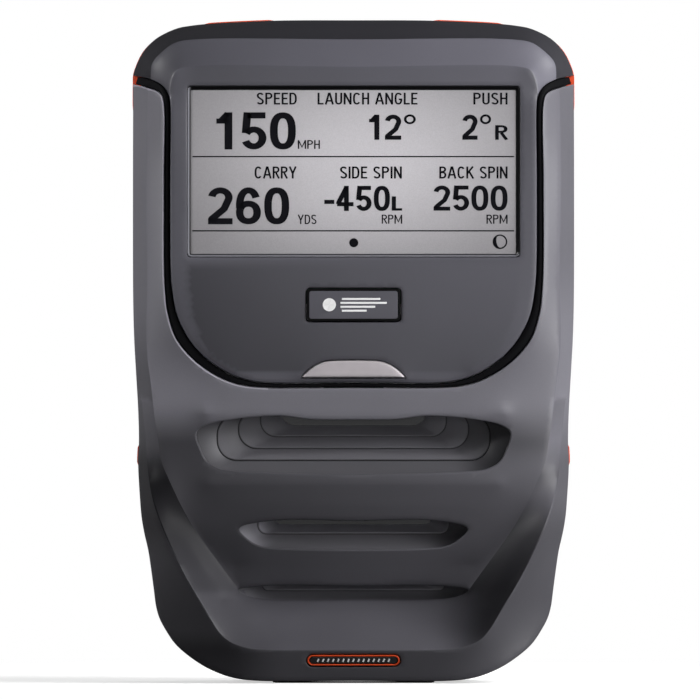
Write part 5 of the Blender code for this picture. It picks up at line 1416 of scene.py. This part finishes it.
loops = []
teeth = 54
angles = [2 * math.pi * k / (teeth * 8) for k in range(teeth * 8)]
for r, zz, depth_ in ((4.4, 4.6, 0), (14.2, 4.6, 0), (14.8, 4.8, 0.3), (15.4, 5.4, 1), (15.4, 9.2, 1), (14.8, 9.8, 0.3), (14.2, 10.0, 0), (4.4, 10.0, 0)):
    loops.append([((r - depth_ * 0.55 * max(0.0, -math.cos(teeth * t)) ** 0.7) * math.cos(t), 39 + (r - depth_ * 0.55 * max(0.0, -math.cos(teeth * t)) ** 0.7) * math.sin(t), zz) for t in angles])
v, f = strip(loops, True)
add("level_wheel_fine", v, f, BLACK, "jack_wheel", 40, ("level_wheel",), tidy=True)
lathe("level_pad_fine", [(0, 0), (2.5, 0), (2.9, 0.35), (3.6, 0.35), (4.0, 0), (5.4, 0), (5.8, 0.35), (6.5, 0.35), (6.9, 0), (8.4, 0), (9.1, 0.3), (9.4, 0.9), (9.4, 2.0), (9.15, 2.6), (8.6, 2.8), (0, 2.8)],
      RUBBER, "z", (0, 39, 0), 96, "jack_foot", ("level_pad",))
groove = [(0, 3.2), (3.0, 3.2)]
zc = 3.6
while zc < 21.2:
    groove += [(4.0, zc + 0.25), (4.0, zc + 0.75), (3.65, zc + 1.1)]
    zc += 1.25
lathe("level_stem_fine", groove + [(3.0, 21.8), (0, 21.8)], STEEL, "z", (0, 39, 0), 48, "jack_foot", ("level_stem",), sharp=25)
foot_parts = [pillow("pad", rounded(-32, 32, 40.0, 50.0, 3.0, n=8, step=1.5), 0.12, 0.5, RUBBER, 0.1, None, Matrix.Rotation(math.pi / 2, 4, "X"))]
for k in range(5):
    foot_parts.append(pillow("tread", rounded(-31, 31, 41.2 + 1.6 * k, 42.2 + 1.6 * k, 0.45, n=5), 0.0, 0.3, RUBBER, 0.08, None, Matrix.Rotation(math.pi / 2, 4, "X")))
bpy.context.view_layer.update()
merge("front_foot_fine", foot_parts, "body", RUBBER, ("front_foot",))

# ---------------------------------------------------------------- finishes of the CAD nodes left as they are
for node, obj in frame["nodes"].items():
    if node.startswith(("window_", "camera_lens_")):
        mat = GLASS
    elif node in ("optical_bench", "heatsink", "battery_bracket", "lcd_backlight"):
        mat = ALU
    elif node.startswith(("sensor_board", "infrared_board")) or node in ("main_board", "io_board", "wifi_antenna"):
        mat = PCB
    elif node in ("base_plate", "processor_shield", "ethernet_jack", "usb_c_port", "door_pin"):
        mat = STEEL
    elif node == "battery_pack":
        mat = WRAP
    else:
        mat = BLACK
    obj.data.materials.clear()
    obj.data.materials.append(mat)

# ---------------------------------------------------------------- stage, light and camera
world = bpy.data.worlds.new("studio")
bpy.context.scene.world = world
world.use_nodes = True
nt = world.node_tree
n, link = nt.nodes, nt.links
bg = n["Background"]
out = n["World Output"]
coord = n.new("ShaderNodeTexCoord")
sep = n.new("ShaderNodeSeparateXYZ")
link.new(coord.outputs["Generated"], sep.inputs[0])
height = n.new("ShaderNodeMapRange")
height.inputs["From Min"].default_value, height.inputs["From Max"].default_value = -0.1, 0.75
height.inputs["To Min"].default_value, height.inputs["To Max"].default_value = WORLD_LOW, WORLD_HIGH
link.new(sep.outputs["Z"], height.inputs["Value"])
link.new(height.outputs["Result"], bg.inputs["Strength"])
bg.inputs["Color"].default_value = (1, 1, 1, 1)
seen = n.new("ShaderNodeBackground")
seen.inputs["Color"].default_value = (1, 1, 1, 1)
seen.inputs["Strength"].default_value = 1.0
path = n.new("ShaderNodeLightPath")
mix = n.new("ShaderNodeMixShader")
link.new(path.outputs["Is Camera Ray"], mix.inputs["Fac"])
link.new(bg.outputs["Background"], mix.inputs[1])
link.new(seen.outputs["Background"], mix.inputs[2])
link.new(mix.outputs["Shader"], out.inputs["Surface"])

mesh = bpy.data.meshes.new("floor")
mesh.from_pydata([(-3, -5, 0), (3, -5, 0), (3, 3, 0), (-3, 3, 0)], [], [(0, 1, 2, 3)])
floor = bpy.data.objects.new("floor", mesh)
floor.location.z = -0.0002
bpy.context.collection.objects.link(floor)
mat, nt, bsdf = nodes_of("floor_white")
bsdf.inputs["Base Color"].default_value = (0.86, 0.86, 0.86, 1)
bsdf.inputs["Roughness"].default_value = 0.9
bsdf.inputs["Specular IOR Level"].default_value = 0.1
n, link = nt.nodes, nt.links
noise = n.new("ShaderNodeTexNoise")
noise.inputs["Scale"].default_value = 8
tone = n.new("ShaderNodeMapRange")
tone.inputs["To Min"].default_value, tone.inputs["To Max"].default_value = 0.84, 0.88
link.new(noise.outputs["Fac"], tone.inputs["Value"])
dim = n.new("ShaderNodeMath"); dim.operation = "MULTIPLY"
link.new(tone.outputs["Result"], dim.inputs[0])
link.new(dim.outputs[0], bsdf.inputs["Base Color"])
glow = n.new("ShaderNodeEmission")
glow.inputs["Strength"].default_value = 0.62
path = n.new("ShaderNodeLightPath")
bounce = n.new("ShaderNodeMapRange")
bounce.inputs["To Min"].default_value, bounce.inputs["To Max"].default_value = 0.28, 1.0
link.new(path.outputs["Is Camera Ray"], bounce.inputs["Value"])
link.new(bounce.outputs["Result"], dim.inputs[1])
amount = n.new("ShaderNodeMath"); amount.operation = "MULTIPLY"
amount.inputs[1].default_value = 0.55
link.new(path.outputs["Is Camera Ray"], amount.inputs[0])
link.new(amount.outputs[0], glow.inputs["Strength"])
addn = n.new("ShaderNodeAddShader")
link.new(bsdf.outputs["BSDF"], addn.inputs[0])
link.new(glow.outputs["Emission"], addn.inputs[1])
# far from the object the camera sees the floor run into the white surround
place = n.new("ShaderNodeTexCoord")
length = n.new("ShaderNodeVectorMath"); length.operation = "LENGTH"
link.new(place.outputs["Object"], length.inputs[0])
far = n.new("ShaderNodeMapRange")
far.interpolation_type = "SMOOTHSTEP"
far.inputs["From Min"].default_value, far.inputs["From Max"].default_value = 0.22, 0.60
link.new(length.outputs["Value"], far.inputs["Value"])
both_ = n.new("ShaderNodeMath"); both_.operation = "MULTIPLY"
link.new(far.outputs["Result"], both_.inputs[0])
link.new(path.outputs["Is Camera Ray"], both_.inputs[1])
white = n.new("ShaderNodeEmission")
white.inputs["Strength"].default_value = 1.0
blend_ = n.new("ShaderNodeMixShader")
link.new(both_.outputs[0], blend_.inputs["Fac"])
link.new(addn.outputs["Shader"], blend_.inputs[1])
link.new(white.outputs["Emission"], blend_.inputs[2])
link.new(blend_.outputs["Shader"], n["Material Output"].inputs["Surface"])
mesh.materials.append(mat)


def lamp(name, at, to, size, power, colour=(1, 1, 1)):
    light = bpy.data.lights.new(name, "AREA")
    light.shape = "RECTANGLE"
    light.size, light.size_y = size
    light.energy = power
    light.color = colour
    obj = bpy.data.objects.new(name, light)
    obj.location = at
    obj.rotation_euler = (Vector(to) - Vector(at)).to_track_quat("-Z", "Y").to_euler()
    bpy.context.collection.objects.link(obj)
    return obj


middle = (0, 0, 0.13)
lamp("key_right", (1.05, -0.42, 0.55), middle, (0.5, 0.9), 15)
lamp("front_soft", (0.46, -0.50, 0.46), (0.02, 0, 0.16), (0.3, 0.3), 1.2)
lamp("front_fill", (0.10, -2.6, 0.16), middle, (0.7, 0.7), 4.0)
# left fill: a soft spot on the upper body only
light = bpy.data.lights.new("fill_left", "SPOT")
light.energy, light.spot_size, light.spot_blend, light.shadow_soft_size = 108, math.radians(9.5), 1.0, 0.12
spot = bpy.data.objects.new("fill_left", light)
spot.location = (-1.35, -0.50, 0.75)
spot.rotation_euler = (Vector((-0.06, 0, 0.205)) - Vector(spot.location)).to_track_quat("-Z", "Y").to_euler()
bpy.context.collection.objects.link(spot)
for name, at, power in (("rear_right", (1.0, 1.5, 0.7), 12), ("rear_left", (-1.2, 1.3, 0.6), 10)):
    lamp(name, at, middle, (0.8, 0.8), power).visible_glossy = False

camera = bpy.data.cameras.new("camera")
camera.lens, camera.sensor_width = 1200, 36
camera.clip_end = 50
cam = bpy.data.objects.new("camera", camera)
distance_ = 700 * 0.3977 * MM / (36 / 1200)
cam.location = ((350 - 353.5) * 0.3977 * MM, -0.005 - distance_, ((679.2 - 350) * 0.3977 + 0.8) * MM)
cam.rotation_euler = (math.pi / 2, 0, 0)
bpy.context.collection.objects.link(cam)
bpy.context.scene.camera = cam
bpy.context.scene.view_settings.view_transform = "Standard"
